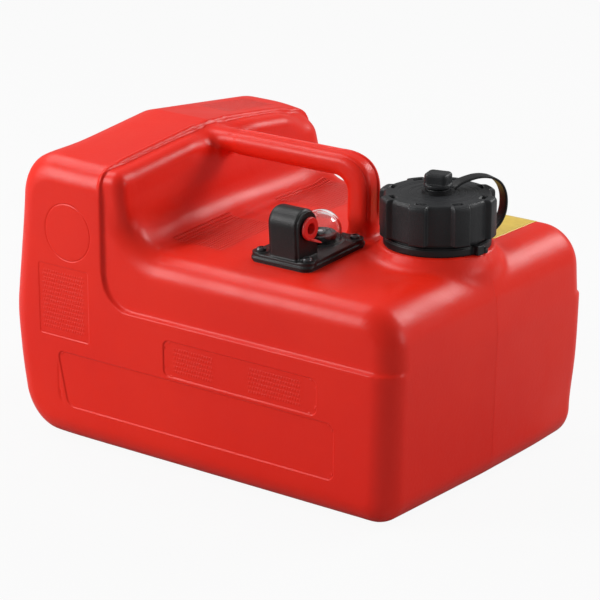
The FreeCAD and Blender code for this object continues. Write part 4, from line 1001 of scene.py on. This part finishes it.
# The indicator, in metres out from the gauge's axis and up.
DRUM_SEAT = FITTING @ Matrix.Translation((0.0, 0.0145, 0.0073))
DRUM_PROFILE = [(0.0006, 0.0), (0.0115, 0.0), (0.0115, 0.0040), (0.0096, 0.0040),
                (0.0090, 0.0034), (0.0042, 0.0034), (0.0042, 0.0050), (0.0006, 0.0050)]
DRUM_ROUNDS = [0, 0.0005, 0.0007, 0.0003, 0.0003, 0.0003, 0.0006, 0]
POINTER_MIDDLE, POINTER_SIZE, POINTER_EDGE = (0.0, 0.0066, 0.0036), (0.0018, 0.0056, 0.0014), 0.0004


def pointer_mesh():
    """Raised bar across the disc that shows the level."""
    form = bmesh.new()
    bmesh.ops.create_cube(form, size=1.0)
    for vert in form.verts:
        vert.co = Vector(POINTER_MIDDLE) + vert.co * Vector(POINTER_SIZE)
    bmesh.ops.bevel(form, geom=form.edges, offset=POINTER_EDGE, segments=3, affect="EDGES")
    mesh = bpy.data.meshes.new("pointer")
    form.to_mesh(mesh)
    form.free()
    mesh.transform(DRUM_SEAT)
    return mesh


# Low disc with a dished top and its hub.
drum = lathe("indicator", DRUM_PROFILE, DRUM_ROUNDS, 0.0006, 96, DRUM_SEAT)
indicator = joined("indicator", [drum, pointer_mesh()], FITTING_BLACK)
finish_piece(indicator, "gauge_drum", "spindle")


# The label, in metres.
LABEL_LOW, LABEL_HIGH = (0.0760, 0.0485), (0.1400, 0.1095)
LABEL_ROUND = 0.003
LABEL_THICK, LABEL_LIFT = 0.00025, 0.00003
LABEL_COUNT = 44
ABOVE_ALL = 0.3


def rounded_spot(across, up, half):
    """Spot of a rectangle pulled in so that its corners are round."""
    past = [max(abs(place) - (reach - LABEL_ROUND), 0.0)
            for place, reach in zip((across, up), half)]
    over = math.hypot(*past)
    if min(past) > 0.0 and over > LABEL_ROUND:
        share = 1 - LABEL_ROUND / over
        across -= math.copysign(past[0] * share, across)
        up -= math.copysign(past[1] * share, up)
    return across, up


def label_mesh():
    """Film that lies on the shell and follows its round."""
    tree = BVHTree.FromObject(shell, bpy.context.evaluated_depsgraph_get())
    count = LABEL_COUNT
    middle = [(low + high) / 2 for low, high in zip(LABEL_LOW, LABEL_HIGH)]
    half = [(high - low) / 2 for low, high in zip(LABEL_LOW, LABEL_HIGH)]
    grid = np.linspace(-1.0, 1.0, count)
    form = bmesh.new()
    upper, lower = [], []
    for u in grid:
        upper_row, lower_row = [], []
        for v in grid:
            du, dv = rounded_spot(u * half[0], v * half[1], half)
            above = Vector((middle[0] + du, middle[1] + dv, ABOVE_ALL))
            spot, normal, _, _ = tree.ray_cast(above, Vector((0.0, 0.0, -1.0)))
            upper_row.append(spot + normal * LABEL_THICK)
            lower_row.append(spot + normal * LABEL_LIFT)
        upper.append([form.verts.new(place) for place in upper_row])
        lower.append([form.verts.new(place) for place in lower_row])
    for i in range(count - 1):
        for k in range(count - 1):
            form.faces.new((upper[i][k], upper[i + 1][k], upper[i + 1][k + 1], upper[i][k + 1]))
            form.faces.new((lower[i][k], lower[i][k + 1], lower[i + 1][k + 1], lower[i + 1][k]))
    last = count - 1
    rim = [(i, 0) for i in range(count)] + [(last, k) for k in range(1, count)]
    rim += [(i, last) for i in range(last - 1, -1, -1)] + [(0, k) for k in range(last - 1, 0, -1)]
    for (i, k), (m, n) in zip(rim, rim[1:] + rim[:1]):
        form.faces.new((upper[i][k], lower[i][k], lower[m][n], upper[m][n]))
    bmesh.ops.recalc_face_normals(form, faces=form.faces)
    mesh = bpy.data.meshes.new("label")
    form.to_mesh(mesh)
    form.free()
    shade_smooth(mesh)
    return mesh


label = mesh_object("label", label_mesh(), YELLOW)
finish_piece(label, "deck_label", "tank")


# ---------------------------------------------------------------- stage, light and camera


FLOOR_GREY, FLOOR_WHITE = 0.42, 0.93
FLOOR_HALF, FLOOR_DROP = 6.0, 0.0002
FILL = 0.30

# Soft boxes: name, place and target in metres, width and height in metres, and watts.
LIGHTS = [
    ("front", (-1.15, -1.25, 0.85), (0.0, 0.0, 0.1), 0.9, 0.9, 22.5),
    ("left", (-1.15, 0.0, 1.5), (0.0, 0.0, 0.1), 1.1, 0.9, 12.5),
    ("back", (0.75, 1.5, 1.25), (0.0, 0.0, 0.15), 1.0, 0.7, 21.0),
    ("end", (1.8, 0.6, 0.6), (0.1, 0.0, 0.1), 0.6, 0.6, 6.5),
]

# The camera of the perspective fit: its right and up directions, place in metres and lens in mm.
CAMERA_RIGHT, CAMERA_UP = (0.79453, 0.60723, 0.0), (-0.19168, 0.25080, 0.94887)
CAMERA_PLACE = (1.1885, -1.5515, 0.7516)
CAMERA_LENS, CAMERA_SENSOR = 166.6, 36.0


def white_source(tree, kind, strength):
    """White emission or background of a given strength."""
    node = tree.nodes.new(kind)
    node.inputs["Color"].default_value = rgba(1.0, 1.0, 1.0)
    node.inputs["Strength"].default_value = strength
    return node.outputs[0]


def seen_white(tree, dim, white, share, target):
    """Show white to the camera, and to what it sees through the dome, and dim to all else."""
    path = tree.nodes.new("ShaderNodeLightPath")
    seen = tree.nodes.new("ShaderNodeMath")
    seen.operation = "MAXIMUM"
    tree.links.new(path.outputs["Is Camera Ray"], seen.inputs[0])
    tree.links.new(path.outputs["Is Transmission Ray"], seen.inputs[1])
    part = tree.nodes.new("ShaderNodeMath")
    part.operation = "MULTIPLY"
    part.inputs[1].default_value = share
    tree.links.new(seen.outputs[0], part.inputs[0])
    mix = tree.nodes.new("ShaderNodeMixShader")
    for source, socket in zip((part.outputs[0], dim, white), mix.inputs):
        tree.links.new(source, socket)
    tree.links.new(mix.outputs[0], target)


def stage_material():
    """Pale floor that the camera, also through the dome, sees as nearly white."""
    s = Shader("stage_white")
    s.tree.nodes.remove(s.bsdf)
    diffuse = s.tree.nodes.new("ShaderNodeBsdfDiffuse")
    diffuse.inputs["Color"].default_value = rgba(FLOOR_GREY, FLOOR_GREY, FLOOR_GREY)
    white = white_source(s.tree, "ShaderNodeEmission", 1.0)
    seen_white(s.tree, diffuse.outputs[0], white, FLOOR_WHITE, s.output.inputs[0])
    return s.material


def floor():
    """Wide floor under the tank."""
    mesh = bpy.data.meshes.new("floor")
    form = bmesh.new()
    bmesh.ops.create_grid(form, x_segments=1, y_segments=1, size=FLOOR_HALF)
    form.to_mesh(mesh)
    form.free()
    piece = mesh_object("floor", mesh, stage_material())
    piece.location = (0.0, 0.0, -FLOOR_DROP)


def world():
    """Even pale surroundings, white to the camera."""
    surroundings = bpy.data.worlds.new("surroundings")
    bpy.context.scene.world = surroundings
    surroundings.use_nodes = True
    tree = surroundings.node_tree
    tree.nodes.clear()
    output = tree.nodes.new("ShaderNodeOutputWorld")
    fill = white_source(tree, "ShaderNodeBackground", FILL)
    white = white_source(tree, "ShaderNodeBackground", 1.0)
    seen_white(tree, fill, white, 1.0, output.inputs[0])


def area_light(name, place, target, width, height, power):
    """Soft box aimed at a point."""
    light = bpy.data.lights.new(name, "AREA")
    light.shape = "RECTANGLE"
    light.size = width
    light.size_y = height
    light.energy = power
    holder = bpy.data.objects.new(name, light)
    bpy.context.scene.collection.objects.link(holder)
    holder.location = place
    aim = Vector(target) - Vector(place)
    holder.rotation_euler = aim.to_track_quat("-Z", "Y").to_euler()


def camera():
    """Camera at the photograph's angle."""
    right, up = Vector(CAMERA_RIGHT), Vector(CAMERA_UP)
    turn = Matrix((right, up, right.cross(up))).transposed().to_4x4()
    data = bpy.data.cameras.new("view")
    data.sensor_width = CAMERA_SENSOR
    data.lens = CAMERA_LENS
    holder = bpy.data.objects.new("view", data)
    bpy.context.scene.collection.objects.link(holder)
    holder.matrix_world = Matrix.Translation(CAMERA_PLACE) @ turn
    bpy.context.scene.camera = holder


floor()
world()
for light in LIGHTS:
    area_light(*light)
camera()
bpy.context.scene.view_settings.view_transform = "Standard"
